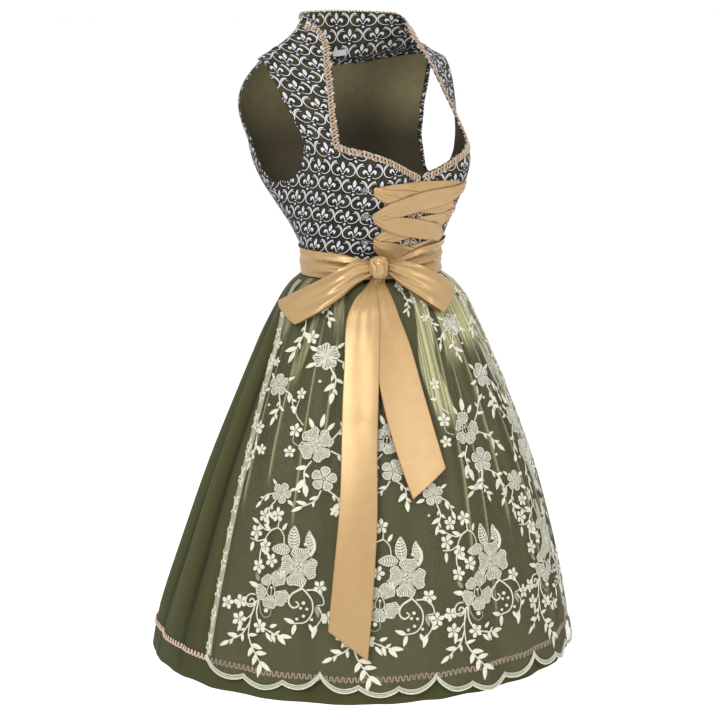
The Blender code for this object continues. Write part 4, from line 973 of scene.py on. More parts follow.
def front_zip():
    """The zip behind the open centre front: its tape, two rows of teeth and its slider."""
    half = math.radians(3.4)
    grid = torso(np.linspace(-half, half, 13)[:, None], np.linspace(-0.342, -0.187, 60))
    grid[6, :, 0] = 0.0
    normal = facing(grid)
    outer = grid - normal * (CLOTH + LAID)
    tape = Piece()
    tape.wall(outer, outer - normal * 0.001, spread(grid))
    rows = np.arange(60)
    for side, shift in ((-1, 0.0), (1, 0.25)):
        point, away = (sample(line[6], rows, rows[:-1] + shift)[:, None]
                       for line in (outer, normal))
        tooth = np.array([0.0002, 0.0010, 0.0016])[:, None] * (side, 0, 0)
        tape.cords(point + away * 0.0003 + tooth, 0.00045, away, slot=1)
    tape.make("zip_tape", (TAPE, TEETH), "zip", flat=(0.014, 0.158), held="hung",
              rests_on=["bodice_front_left"])
    slider = Piece()
    seat = torso(0.0, -0.1805) + (0.0, 0.0045, 0.0)
    turn = circle(16)
    ring = np.stack([boxy(np.cos(turn), 0.6) * 0.0021, 0 * turn,
                     boxy(np.sin(turn), 0.6) * 0.0040], -1)
    rings = np.array([0.15, 0.85, 1.0, 1.0, 0.85, 0.15])[:, None]
    deep = np.array([-0.0007, -0.0007, -0.0004, 0.0004, 0.0007, 0.0007])[:, None]
    index = np.arange(96).reshape(16, 6)
    index = np.vstack([index, index[:1]])
    faces = np.stack([index[:-1, :-1], index[:-1, 1:], index[1:, 1:], index[1:, :-1]], -1)
    fan = np.array([[0, k, k + 1, k + 2] for k in range(1, 14, 2)])
    faces = np.concatenate([faces.reshape(-1, 4), index[fan[:, ::-1], 0], index[fan, 5]])
    for depth in (-0.0015, 0.0013):
        points = seat + ring[:, None] * rings + (deep + depth) * (0, 1, 0)
        slider.add(points, points[..., ::2], faces)
    turn = circle(20)
    tab = np.stack([0.0014 * np.cos(turn), 0 * turn - 0.0026, 0.0026 * np.sin(turn) - 0.0008], -1)
    slider.cords(seat + tab, 0.0004, (0.0, -1.0, 0.0), closed=True)
    slider.make("zip_slider", (TEETH,), "zip")


# ---------------- lacing
def ribbon_over(name, start, end, width, stand, pull=(0.0, 0.0), sag=0.0, seed=0.0, last=0.3):
    """A satin ribbon across the front from one hook to another: angle and level run straight
    between them, pulled to the hooks' middles at the ends, where it narrows and gathers."""
    along = np.linspace(0, 1, 97)[:, None]
    across = np.linspace(-1, 1, 21)[None, :]
    theta = np.radians(start[0] + (end[0] - start[0]) * along)
    ends = np.where(along < 0.5, 0.3, last)
    half = width / 2 * (ends + (1 - ends) * np.sin(math.pi * np.clip(along, 0.0, 1.0)) ** 0.42)
    level = (start[1] + (end[1] - start[1]) * along + half * across
             + pull[0] * bump(along, 0.09) + pull[1] * bump(1 - along, 0.09)
             - sag * np.sin(math.pi * along) ** 2 * (1 - across) / 2)
    grid = torso(theta + 0 * across, level)
    normal = facing(grid)
    near = np.abs(2 * along - 1) ** 2.5
    gathers = (0.00050 * near * np.cos(9.4 * across + seed)
               + 0.0004 * np.cos(3.2 * across + 5 * along + seed)
               + 0.00035 * np.sin(11 * along + 2.5 * across + seed))
    outer = grid + normal * (stand + 0.0008 + gathers)[..., None]
    piece = Piece()
    piece.wall(outer, outer - normal * 0.0005, spread(outer))
    for column in (0, -1):
        edged(piece, outer[:, column], normal[:, column], 0.0004)
    reach = float(lengths(outer[:, 10])[-1])
    piece.make(name, (RIBBON, RIBBON_EDGE), "ribbon", flat=(round(reach, 3), width + sag),
               held="stretched", area=round(reach * (width + sag) * 0.88, 5),
               rests_on=["lace_hook_left_1"])


def lace_hook(name, side, level, stand):
    """A cast rosette hook: five openwork petals round a domed middle, small beads between them,
    and a long eye towards the ribbon."""
    theta, tiny = math.radians(HOOK_ANGLE), 1e-3
    middle, inwards, above = (torso(theta - turn, level + up) * (side, 1, 1)
                              for turn, up in ((0, 0), (tiny, 0), (0, tiny)))
    across, upward = unit(inwards - middle), unit(above - middle)
    out = np.cross(across, upward)
    out = out if out[1] < 0 else -out
    middle = middle + out * (stand + 0.0007)
    piece = Piece()

    def laid(x, y, z=0.0):
        return middle + (np.multiply.outer(x, across) + np.multiply.outer(y, upward)
                         + np.multiply.outer(np.zeros_like(x) + z, out))

    turn = circle(14)
    eye_x, eye_y = 0.0004 + 0.0042 * np.cos(turn), 0.0022 * np.sin(turn)
    piece.cords(laid(eye_x, eye_y), 0.0006, out, closed=True)
    rose = -0.0072
    for petal in np.arange(5) * 2 * math.pi / 5 + 0.3:
        cos, sin = math.cos(petal), math.sin(petal)
        away, aside = 0.0036 + 0.0021 * np.cos(turn), 0.0017 * np.sin(turn)
        piece.cords(laid(rose + away * cos - aside * sin, away * sin + aside * cos, 0.0002),
                    0.0005, out, closed=True)
        piece.beads(laid(rose + 0.0052 * math.cos(petal + 0.63),
                         0.0052 * math.sin(petal + 0.63), 0.0001), 0.00065, out)
        piece.beads(laid(rose + 0.0042 * cos, 0.0042 * sin, 0.0003), 0.0006, out)
    piece.cords(laid(rose + 0.0013 * np.cos(turn), 0.0013 * np.sin(turn), 0.0005), 0.0004, out,
                closed=True)
    piece.beads(laid(rose, 0.0, 0.0006), 0.0011, out)
    piece.make(name, (SILVER,), "silver")


def lacing():
    """Six hooks, the band across the top and the crossings laid over each other."""
    stands = (-0.0006, 0.0000, 0.0002)
    for side, word in ((-1, "right"), (1, "left")):
        for number, (level, stand) in enumerate(zip(HOOK_LEVELS, stands), 1):
            lace_hook(f"lace_hook_{word}_{number}", side, level, stand)
    reach = HOOK_ANGLE - 2.6
    pull = HOOK_SPREAD - 0.001
    for number, (high, low) in enumerate(zip(HOOK_LEVELS[:-1], HOOK_LEVELS[1:]), 1):
        for letter, side, stand in (("a", -1, LACING_UNDER), ("b", 1, LACING_OVER)):
            stand = stand if number == 1 else LACING_UNDER + LACING_OVER - stand
            ribbon_over(f"lacing_cross_{number}{letter}", (side * reach, high - HOOK_SPREAD),
                        (-side * reach, low + HOOK_SPREAD), 0.031, stand, (pull, -pull),
                        seed=number + side)
    low = HOOK_LEVELS[-1] - HOOK_SPREAD
    for letter, side, stand in (("a", -1, 0.0049), ("b", 1, 0.0036)):
        ribbon_over(f"lacing_cross_3{letter}", (side * reach, low), (side * -5.0, -0.312), 0.031,
                    stand, (pull, 0.0), seed=side, last=1.0)
    top = HOOK_LEVELS[0] + HOOK_SPREAD
    ribbon_over("lacing_top", (-reach, top - 0.004), (reach, top - 0.004), 0.015, 0.0024,
                (-0.4 * pull, -0.4 * pull), 0.018, seed=2.0)


# ---------------- skirt
# Long soft folds of the skirt.
SKIRT_DRAPES = (
    (-172, -168, -420, -990, 5, 4), (-160, -156, -360, -990, 4, -5),
    (-150, -149, -500, -990, 3, 3.5), (-140, -137, -360, -990, 4.5, 5),
    (-131, -128, -440, -990, 2.6, -4.5), (-122, -119, -360, -990, 3.6, 4.5),
    (-114, -111, -550, -990, 2.4, -4), (-106, -104, -360, -990, 3, 5),
    (-98, -96, -400, -990, 2.2, -4.5), (-91, -89, -360, -990, 2.6, 3),
    (-80, -79, -400, -950, 3, -3), (-66, -67, -450, -990, 3.4, 3), (-52, -52, -400, -990, 2.8, -3),
    (-38, -40, -500, -990, 3.4, 3), (-20, -21, -380, -990, 2.6, -3), (-4, -5, -450, -990, 3, 2.5),
    (10, 12, -380, -990, 2.6, -3), (24, 26, -450, -990, 3, 3), (40, 42, -400, -990, 3, -3),
    (55, 56, -500, -990, 3.2, 3), (70, 72, -380, -990, 2.8, -3), (86, 88, -400, -990, 2.6, 3.5),
    (97, 99, -360, -990, 2.6, -4.5), (107, 105, -400, -990, 3.2, 4.5),
    (117, 114, -360, -990, 2.8, -4.5), (126, 124, -500, -990, 2.6, 4),
    (136, 134, -360, -990, 3.6, -5), (147, 146, -440, -990, 3, 4.5),
    (158, 157, -360, -990, 4.2, -4.5), (170, 172, -500, -990, 3.6, 4),
)


def skirt_point(theta, height):
    """The skirt's outer face: its solid's form with the long soft folds and fine ripples."""
    fine = 0.0003 * np.sin(61 * theta + 5 * height + 1.7 * np.sin(9 * theta)) \
        * fade(height, -0.40, -0.60)
    free = 1.0 + 0.6 * fade(np.abs(np.degrees(theta)), 80, 94)
    radius = skirt_radius(theta, height, SOFT) + free * drape(theta, height, SKIRT_DRAPES) + fine
    return round_axis(theta, radius, height)


def hem_height(theta):
    """Height of the skirt's hem, a little lower at the back."""
    return HEM_FRONT + (HEM_BACK - HEM_FRONT) * (1 - np.cos(theta)) / 2


def skirt():
    """The front and the back of the skirt, the stitching above its hem, and the gimp braid."""
    top = WAIST - SEAM
    down = np.concatenate([np.linspace(0, 0.12, 14)[:-1], np.linspace(0.12, 1, 56)])
    for name, first, last, count, wide in (
            ("skirt_front", -SKIRT_SEAM, SKIRT_SEAM, 300, 1.30),
            ("skirt_back", SKIRT_SEAM, 360 - SKIRT_SEAM, 240, 1.10)):
        turn = np.radians(np.linspace(first, last, count))[:, None]
        theta = np.where(turn > math.pi, turn - 2 * math.pi, turn)
        height = top + (hem_height(theta) - top) * down
        theta = theta + 0 * height
        grid = skirt_point(theta, height)
        normal = normals_of(skirt_point, theta, height)
        slant = np.hypot(1.0, 0.35)
        piece = Piece()
        piece.wall(grid, grid - normal * CLOTH,
                   np.stack([(height - top) * slant, turn * 0.34 + 0 * height], -1))
        stitched(piece, grid[:, -4] + normal[:, -4] * 0.0001, normal[:, -4], 1, 0.003, 0.002)
        # the depth of the long folds, which the skirt's satin turns into painted shade and painted
        # sheen
        fold = np.zeros(piece.total)
        fold[:2 * theta.size] = np.tile(drape(theta, height, SKIRT_DRAPES).ravel() / 0.005, 2)
        piece.make(name, (SKIRT, TAPE), "skirt_satin", told={"fold": fold}, flat=(wide, 0.69),
                   held="gathered", area=round(wide * 0.69 * 0.72, 3), rests_on=["waist_sash"])
    turn = np.linspace(-math.pi, math.pi, 1441)
    low, high = (skirt_point(turn, turn * 0 + z) for z in (-0.9365, -0.9245))
    braid = Piece()
    gimp(braid, low, high, normals_of(skirt_point, turn, turn * 0 - 0.930), pitch=0.0088,
         radius=0.00125, top=0.95, steps=14, strands=((0, 1, 1.0),), loose=0.075, swing=0.31)
    braid.make("braid_hem", (ROSE,), "braid")


# ---------------- apron
# Narrow pressed folds of the net, where it lies doubled.
NET_FOLDS = (
    (-84, -78, -400, -700, 0.5, 2), (-74, -70, -380, -660, 0.6, 2.2),
    (-62, -60, -360, -720, 0.5, 2), (-52, -55, -370, -620, 0.6, 1.6),
    (2, -4, -360, -800, 0.7, 2.4), (9, 4, -360, -880, 0.5, 2.4), (17, 16, -360, -740, 0.8, 2.6),
    (27, 30, -370, -900, 0.6, 2.6), (38, 44, -360, -800, 0.8, 2.6), (48, 56, -360, -940, 0.6, 2.6),
    (60, 66, -360, -700, 0.8, 2.4), (72, 74, -380, -860, 0.6, 2.2), (82, 80, -360, -660, 0.7, 2),
    (-92, -82, -370, -560, 0.5, 1.8),
)

# Where the gathered net lies doubled in broad pleats: first and last angle, lower end in metres
# and share.
NET_PLEATS = (
    (-9, 1, -0.56, 0.9), (5, 16, -0.47, 0.8), (20, 37, -0.455, 1), (40, 47, -0.6, 0.6),
    (52, 66, -0.48, 0.8), (70, 75, -0.58, 0.5), (-57, -51, -0.42, 0.5), (-71, -67, -0.5, 0.5),
    (-90, -84, -0.44, 0.5),
)


def apron_point(theta, height):
    """A point of the apron's outer face: the skirt's form with softer folds, a stand off it,
    small gathers under the sash, slow slack and the narrow pressed folds."""
    stand, follow = APRON_RINGS(height)
    gathers = 0.0012 * np.sin(58 * theta + 2.2 * np.sin(7 * theta)) \
        * fade(height, -0.349, -0.37) * fade(height, -0.56, -0.40)
    slack = 0.0022 * np.sin(13 * theta + 7 * height) * np.sin(9 * height + 2 * theta) \
        * fade(height, -0.42, -0.60)
    radius = skirt_radius(theta, height, follow * SOFT) + stand + gathers + slack \
        + drape(theta, height, NET_FOLDS)
    return round_axis(theta, radius, height)


def scallop_hem(theta):
    """Height of the apron's scalloped hem: groups of three scallops under a shallow arch, with
    the highest notches between groups."""
    turn = np.degrees(theta)
    place = (turn + APRON_HALF) / (3 * SCALLOP)
    arch = np.abs(np.sin(math.pi * place)) ** 0.6
    scallop = np.abs(np.sin(3 * math.pi * place)) ** 0.8
    return -0.923 - 0.010 * fade(turn, -40, -5) - 0.021 * arch - 0.0105 * scallop


def edge_shift(turn, height):
    """Degrees by which the apron hangs uneven round the skirt, growing down to the scallops."""
    return fade(height, -0.36, -0.94) * (2.8 * bump(turn + 66, 22) - 1.0 * bump(turn + 8, 15))


def apron_grid(across, down):
    """Angles and heights of the apron's lines: across from -1 to 1, down from 0 at the sash to 1
    at the scallops."""
    across, down = np.broadcast_arrays(across, down)
    hem = scallop_hem(np.radians(across * APRON_HALF))
    height = APRON_TOP + (hem - APRON_TOP) * down
    turn = across * APRON_EDGE(height)
    return np.radians(turn + edge_shift(turn, height)), height


def apron():
    """The apron of net, gathered under the sash, with its dense pleats."""
    across = np.linspace(-1, 1, 461)[:, None]
    theta, height = apron_grid(across, np.linspace(0, 1, 74))
    grid = apron_point(theta, height)
    normal = normals_of(apron_point, theta, height)
    flat = np.stack([across * 0.52 + 0 * height, (height - APRON_TOP) * 1.06], -1)
    turn = np.degrees(theta)
    streaks = 0.72 + 0.28 * np.sin(turn * 2.9 + 2 * np.sin(turn * 0.7) + 6 * height)
    dense = 0.26 * fade(turn, 46, 66) * fade(height, -0.40, -0.60)
    for *line, width, _ in NET_FOLDS:
        share_of_fold = ((*line, width * 0.8, 550),)    # thousandths, in place of a depth in mm
        dense = np.maximum(dense, drape(theta, height, share_of_fold))
    for first, last, bottom, share in NET_PLEATS:
        wander = turn + 2.0 * np.sin(height * 31 + first)
        inside = fade(wander, first - 0.4, first + 0.4) * fade(wander, last + 0.4, last - 0.4)
        dense = np.maximum(dense, share * inside * streaks
                           * fade(height, bottom - 0.02, bottom + 0.03))
    piece = Piece()
    piece.wall(grid, grid - normal * 0.0004, flat)
    piece.make("apron", (NET,), "lace", told={"dense": np.tile(dense.ravel(), 2)},
               flat=(1.08, 0.62), held="gathered", area=0.50,
               rests_on=["skirt_front", "waist_sash"])


# ---------------- embroidery, drawn flat
# Each drawing is made in its own plane, in metres: x to the right, y up and z off the net.
# Places and sizes are given in centimetres.


def smooth_line(points, count):
    """A smooth line through the points, evenly stepped between them by their distances."""
    points = np.asarray(points, float)
    run = lengths(points)
    at = np.linspace(0, run[-1], count)
    slope = np.gradient(points, run, axis=0)
    i = cell(run, at)
    gap = run[i + 1] - run[i]
    return cubic(((at - run[i]) / gap)[:, None], gap[:, None], points[i], points[i + 1],
                 slope[i], slope[i + 1])


def stem(piece, *points, radius=0.0013, count=14, slot=0, lift=0.0004):
    """A stitched stem through points in centimetres, thinner at its far end."""
    line = smooth_line(np.array(points) * 0.01, count)
    path = np.column_stack([line, np.full(count, lift)])
    piece.cords(path, np.linspace(radius, radius * 0.75, count), sides=4, slot=slot,
                flatten=0.7)


def leaf(piece, x, y, angle, length=1.5, width=0.6, bend=0.0, slot=0, rows=6, blunt=0.8,
         rim=False):
    """A leaf from (x, y) in centimetres: its half width is a skewed sine of the way along it, and
    its face is domed. A large one is filled with paler stitches inside a rim."""
    along = np.linspace(0.0, 1.0, rows)[:, None]
    across = np.linspace(-1, 1, 4)[None, :]
    half = width / 2 * (0.06 + 0.94 * np.sin(math.pi * along ** blunt) ** 0.8)
    flat_x = length * along + 0 * across
    flat_y = half * across + bend * length * np.sin(math.pi * along) * 0.35
    turn = math.radians(angle)
    px = x + flat_x * math.cos(turn) - flat_y * math.sin(turn)
    py = y + flat_x * math.sin(turn) + flat_y * math.cos(turn)
    dome = 0.00025 + 0.0006 * (1 - across ** 2) * np.sin(math.pi * along) ** 0.5
    top = np.stack([px * 0.01, py * 0.01, dome + 0 * px], -1)
    ribs = ((rows - 1) * along - np.abs(across) + 0.25) * RIB
    stitches = np.stack([(flat_y + flat_x * 0.5) * 0.01,
                         ribs if rim else (flat_x * 0.8 + np.abs(flat_y)) * 0.01], -1)
    fill = 2 if rim else slot
    piece.wall(top, top * (1, 1, 0) + (0, 0, 0.00005), stitches, slots=(fill, fill))
    if rim:
        edge = np.concatenate([top[:, 0], top[-2::-1, -1]])
        edge[:, 2] = 0.0008
        piece.cords(edge, 0.0008, sides=4, flatten=0.7)
        spine = np.stack([px[:, 1:3].mean(1), py[:, 1:3].mean(1)], -1)
        stem(piece, *spine[:-1:2], radius=0.0006, count=6, lift=0.0009)
        for k in range(1, rows - 2):
            for side in (0, -1):
                tip = np.array([px[k + 1, side], py[k + 1, side]])
                stem(piece, spine[k], spine[k] + 0.8 * (tip - spine[k]), radius=0.00045, count=3,
                     lift=0.0007)


def petal(piece, x, y, angle, opening, inner, outer, notch=0.0, lobes=0.0):
    """A petal as a fan about (x, y), filled with radial stitches inside a corded rim: its far
    edge dips in the middle by notch and ripples in lobes, and its face is domed."""
    out = np.linspace(0, 1, 5)[:, None]
    across = np.linspace(-1, 1, 11)[None, :]
    round_off = np.sqrt(np.clip(1 - (np.abs(across) * 0.95) ** 2.6, 0, 1))
    reach = outer * (0.60 + 0.40 * round_off) * (1 - notch * bump(across, 0.30)
                                                 + lobes * np.cos(across * 12.5))
    radius = inner + (reach - inner) * out
    phi = math.radians(angle) + math.radians(opening) / 2 * across * (0.50 + 0.50 * out ** 0.6)
    px, py = x + radius * np.cos(phi), y + radius * np.sin(phi)
    dome = 0.0003 + 0.0009 * (1 - across ** 2) * np.sin(math.pi * (0.15 + 0.8 * out))
    top = np.stack([px * 0.01, py * 0.01, dome], -1)
    ribs = ((5 if outer > 2 else 2.5) * across + 0.25) * RIB
    stitches = np.stack([radius * 0.01, ribs + 0 * radius], -1)
    piece.wall(top, top * (1, 1, 0) + (0, 0, 0.00005), stitches, slots=(2, 2))
    edge = np.concatenate([top[:, 0], top[-1, 1:-1], top[::-1, -1]])
    edge[:, 2] = 0.0008
    piece.cords(edge, 0.00092, sides=4, flatten=0.7)
    for column in (2, 3, 4, 5, 6, 7, 8) if outer > 2 else (3, 5, 7):
        ends = top[(1, 3), column, :2] * 100
        far = ends[0] + (top[-1, column, :2] * 100 - ends[0]) * (0.82 if column % 2 else 0.66)
        stem(piece, ends[0], far, radius=0.00055, count=4, lift=0.00115)


def four_flower(piece, x, y, size, turn=45.0):
    """A broad flower of four notched petals with a corded cross between them."""
    for k in range(4):
        petal(piece, x, y, turn + 90 * k, 80, 0.12 * size, size, 0.16, 0.03)
        a = math.radians(turn + 45 + 90 * k)
        stem(piece, (x, y), (x + 0.55 * size * math.cos(a), y + 0.55 * size * math.sin(a)),
             radius=0.0010, count=3, lift=0.0008)


def cup_flower(piece, x, y, size, turn=0.0):
    """A flower of five petals round an open drop-shaped middle with a beaded stamen in it."""
    for angle, length in ((52, 1.0), (118, 0.80), (190, 0.95), (258, 0.95), (322, 1.02)):
        petal(piece, x, y, angle + turn, 66, 0.30 * size, size * length, 0.05, 0.04)
    phi = circle(18)
    drop_x = 0.22 * size * np.sin(phi) * (1 - 0.35 * np.cos(phi))
    drop_y = 0.34 * size * np.cos(phi)
    ring = np.stack([(x + drop_x) * 0.01, (y + drop_y) * 0.01, np.full(18, 0.0010)], -1)
    piece.cords(ring, 0.0008, sides=4, closed=True)
    stem(piece, (x, y - 0.28 * size), (x + 0.02, y + 0.05 * size), radius=0.0007, count=3)
    bud(piece, x, y + 0.10 * size, 0.08 * size)


def five_flower(piece, x, y, size, turn=90.0):
    """A flower of five round petals with an open middle."""
    for k in range(5):
        petal(piece, x, y, turn + 72 * k, 60, 0.16 * size, size)
    bud(piece, x, y, 0.11 * size)


def daisy(piece, x, y, size=1.0, turn=90.0):
    """A small flower of five round petals."""
    for k in range(5):
        angle = turn + 72 * k
        a = math.radians(angle)
        leaf(piece, x + 0.14 * size * math.cos(a), y + 0.14 * size * math.sin(a), angle,
             0.92 * size, 0.66 * size, rows=5, blunt=1.25)
    bud(piece, x, y, 0.13 * size)


def bud(piece, x, y, size):
    """A small round knot of thread."""
    piece.beads((x * 0.01, y * 0.01, 0.0006), size * 0.01, flatten=0.6)


def scroll(piece, x, y, angle, size, hand=1, turns=1.35):
    """A scroll that winds in: its radius falls evenly as it turns."""
    t = np.linspace(0, 1, 22)
    phi = math.radians(angle) + hand * 2 * math.pi * turns * t
    r = size * (1 - 0.80 * t)
    x0 = x - size * math.cos(math.radians(angle))
    y0 = y - size * math.sin(math.radians(angle))
    path = np.stack([(x0 + r * np.cos(phi)) * 0.01, (y0 + r * np.sin(phi)) * 0.01,
                     np.full(22, 0.0005)], -1)
    piece.cords(path, np.linspace(0.0012, 0.00144, 22), sides=4)
    bud(piece, path[-1, 0] * 100, path[-1, 1] * 100, 0.16)


def spray(piece, points, leaves, length=1.4, width=0.55, first=0.30, fan=44, slot=0):
    """A stem with leaves in turn on either side of it, and one at its end."""
    length, width = length * 1.2, width * 1.2
    stem(piece, *points)
    line = smooth_line(np.array(points), 40)
    run = np.gradient(line, axis=0)
    for k in range(leaves):
        at = int(39 * (first + (1 - first) * k / max(leaves - 0.4, 1)))
        angle = math.degrees(math.atan2(run[at, 1], run[at, 0]))
        side = 1 if k % 2 else -1
        size = 0.85 + 0.3 * math.sin(2.1 * k + leaves)
        leaf(piece, *line[at], angle + side * (fan + 6 * math.sin(k * 1.7)), length * size,
             width * size, slot=slot)
    angle = math.degrees(math.atan2(run[-1, 1], run[-1, 0]))
    leaf(piece, *line[-1], angle, length * 1.1, width, slot=slot)


def big_bouquet():
    """The large drawing above the hem: a cup flower, a four-petalled one, an arch of small
    flowers, a scroll with buds, and sprays down towards the scallops."""
    p = Piece()
    cup_flower(p, 0.0, 0.0, 3.1, 8)
    four_flower(p, 4.3, 3.8, 3.2, 84)
    leaf(p, 3.5, 6.4, 97, 3.7, 1.9, 0.1, 2, 9, rim=True)
    leaf(p, 2.7, 6.3, 180, 3.3, 1.6, -0.1, 2, 9, rim=True)
    stem(p, (6.1, 5.6), (6.7, 6.6), (6.6, 7.8), (5.9, 8.8), radius=0.0030, count=9)
    leaf(p, 6.5, 6.4, 104, 3.1, 1.3, 0.3, 2, 8, rim=True)
    bud(p, 5.2, 7.3, 0.34)
    stem(p, (-2.7, 3.4), (-2.9, 5.2), (-2.4, 7.2), (-1.2, 9.0), (0.2, 9.6), (1.3, 8.6),
         (1.6, 7.0), count=22)
    stem(p, (-2.2, 7.6), (-3.4, 7.2), (-5.2, 7.4))
    spray(p, ((-0.2, 9.5), (-2.0, 9.0), (-4.0, 9.9)), 2, 1.3, 0.5)
    stem(p, (0.1, 9.6), (0.2, 10.8), count=4)
    leaf(p, 1.0, 9.3, 58, 1.4, 0.6)
    for x, y, size, turn in ((-3.0, 11.2, 1.1, 80), (-0.2, 11.6, 1.15, 95), (-4.2, 8.5, 1.2, 60),
                             (-2.0, 6.6, 1.1, 100), (-2.9, 3.3, 1.15, 70), (-0.5, 4.5, 1.1, 70),
                             (7.9, 0.8, 1.1, 60), (1.6, 2.6, 0.8, 40)):
        daisy(p, x, y, size, turn)
    leaf(p, -4.6, 7.0, 262, 1.6, 0.7)
    leaf(p, -2.4, 5.8, -20, 1.5, 0.6)
    leaf(p, -2.5, 1.0, 122, 1.5, 0.7, slot=1)
    leaf(p, -2.4, 0.2, 165, 2.0, 0.8, 0.1)
    scroll(p, -2.9, -1.2, 60, 1.25, 1, 1.3)
    leaf(p, 0.9, 2.6, 60, 1.5, 0.8, slot=1)
    stem(p, (-2.2, -1.9), (-3.4, -2.7), (-5.2, -2.6), (-6.0, -2.7), radius=0.0015)
    bud(p, -6.0, -2.8, 0.30)
    daisy(p, -5.4, -2.5, 1.1, 40)
    daisy(p, -7.6, -2.9, 1.1, 10)
    stem(p, (-2.6, -2.2), (-3.2, -4.2), (-4.4, -5.4))
    daisy(p, -5.2, -5.2, 1.2, 75)
    leaf(p, -4.8, -6.0, 250, 1.3, 0.6)
    stem(p, (-2.6, -2.2), (-3.3, -5.0), (-3.4, -7.6))
    spray(p, ((-3.3, -5.4), (-4.4, -7.4), (-6.4, -8.8)), 4, 1.35, 0.55)
    leaf(p, -3.4, -7.5, 8, 1.6, 0.55)
    stem(p, (-3.4, -7.4), (-2.8, -8.8), (-1.9, -10.2), (-0.9, -11.6))
    for x, y, angle, length in ((-2.7, -8.9, -12, 2.0), (-2.4, -9.2, 248, 1.8),
                                (-1.9, -10.1, 4, 1.9), (-1.7, -10.3, 255, 1.9),
                                (-1.0, -11.3, -38, 2.3), (-0.9, -11.5, -98, 2.4)):
        leaf(p, x, y, angle, length, 0.78)
    stem(p, (-2.2, -1.9), (-2.3, -4.0), (-1.7, -5.4), (0.4, -6.6), radius=0.0014)
    spray(p, ((0.2, -6.4), (1.1, -6.8), (1.9, -6.9)), 3, 1.5, 0.6)
    leaf(p, -0.4, -6.7, -50, 1.8, 0.6)
    leaf(p, 0.2, -5.8, 24, 1.3, 0.6)
    daisy(p, -1.5, -5.9, 1.1, 30)
    stem(p, (-2.0, -1.8), (-1.7, -3.4), (-0.8, -4.4), (0.1, -4.0), (0.1, -3.0), (-0.5, -2.7),
         count=16, slot=1)
    bud(p, -0.6, -3.3, 0.42)
    stem(p, (4.9, 0.7), (5.7, 0.0), (6.8, -1.5), (6.8, -3.2), (5.8, -4.6), (4.2, -4.9),
         radius=0.0014, count=22)
    stem(p, (5.2, 0.6), (4.4, 0.2), (3.3, -0.6), (3.1, -1.8), (3.9, -2.5), (4.7, -2.0),
         (4.2, -1.5), radius=0.0017, count=20)
    for x, y, size in ((5.4, -1.7, 0.34), (5.0, -2.5, 0.28), (6.0, -2.6, 0.28), (5.5, -3.7, 0.30),
                       (6.8, -4.2, 0.28), (4.5, -4.2, 0.28)):
        bud(p, x, y, size)
    leaf(p, 4.2, -4.9, 158, 1.9, 0.7)
    leaf(p, 4.3, -5.0, 255, 1.8, 0.7)
    stem(p, (5.8, 0.3), (7.2, 0.3), (8.4, -0.6), (8.6, -1.8), (7.6, -2.0))
    leaf(p, 7.4, -2.0, -76, 1.9, 0.75, slot=1)
    stem(p, (7.8, -2.2), (8.4, -3.6), (7.6, -5.2))
    leaf(p, 6.4, -4.9, -62, 1.6, 0.6)
    leaf(p, 7.5, -5.0, 255, 2.2, 0.75)
    leaf(p, 8.1, -4.2, 20, 1.3, 0.6)
    return p


def middle_posy(flower, size):
    """A smaller drawing for the middle of the apron: one large flower with sprays round it."""
    p = Piece()
    flower(p, 0.0, 0.0, size, 30)
    leaf(p, 0.6, 2.7, 76, 2.2, 0.8)
    leaf(p, -0.6, 2.5, 118, 1.9, 0.75)
    leaf(p, 1.7, 2.2, 44, 1.7, 0.65)
    spray(p, ((2.6, 0.8), (4.0, 2.4), (5.0, 4.4)), 3, 1.4, 0.5)
    spray(p, ((2.4, -1.0), (4.2, -2.0), (5.6, -3.8)), 4, 1.5, 0.6)
    spray(p, ((-0.6, -2.6), (-1.6, -4.2), (-1.4, -6.2)), 3, 1.6, 0.7)
    daisy(p, -3.6, 2.2, 1.1, 80)
    daisy(p, -4.2, -1.2, 0.95, 20)
    stem(p, (-2.6, -0.4), (-3.8, 0.4), (-3.8, 1.6), radius=0.0006)
    stem(p, (-2.4, 3.0), (-4.0, 5.0), (-3.6, 7.4), radius=0.0010)
    daisy(p, -3.5, 8.0, 0.9, 90)
    leaf(p, -3.9, 5.6, 170, 1.3, 0.5)
    five_flower(p, 1.4, -5.4, 1.9, 80)
    spray(p, ((1.0, -7.2), (0.2, -8.8), (-1.6, -9.8)), 3, 1.3, 0.5)
    spray(p, ((1.8, -7.0), (3.4, -8.4), (3.8, -10.6)), 4, 1.5, 0.6)
    bud(p, 4.6, -5.4, 0.28)
    bud(p, -2.2, -7.4, 0.26)
    return p


def small_sprig(flower, size, turn):
    """A small drawing for the upper apron: one open flower on a leafy stem."""
    p = Piece()
    flower(p, 0.0, 0.0, size, turn)
    spray(p, ((0.6, -1.6), (1.2, -3.2), (0.8, -5.0)), 4, 1.3, 0.5)
    leaf(p, -1.5, -0.8, 205, 1.5, 0.6)
    leaf(p, -1.3, 0.9, 150, 1.4, 0.55)
    leaf(p, 1.5, 1.0, 30, 1.3, 0.5)
    spray(p, ((1.5, -0.6), (2.8, -1.4), (3.4, -2.8)), 2, 1.2, 0.5)
    bud(p, -0.8, -3.4, 0.24)
    return p


def top_sprig():
    """A leafy twig with two small flowers, for the places between."""
    p = Piece()
    spray(p, ((0.0, 2.2), (0.3, 0.0), (-0.4, -2.4)), 5, 1.3, 0.5)
    daisy(p, 0.2, 3.1, 1.1, 85)
    daisy(p, 1.6, -0.4, 0.9, 20)
    return p

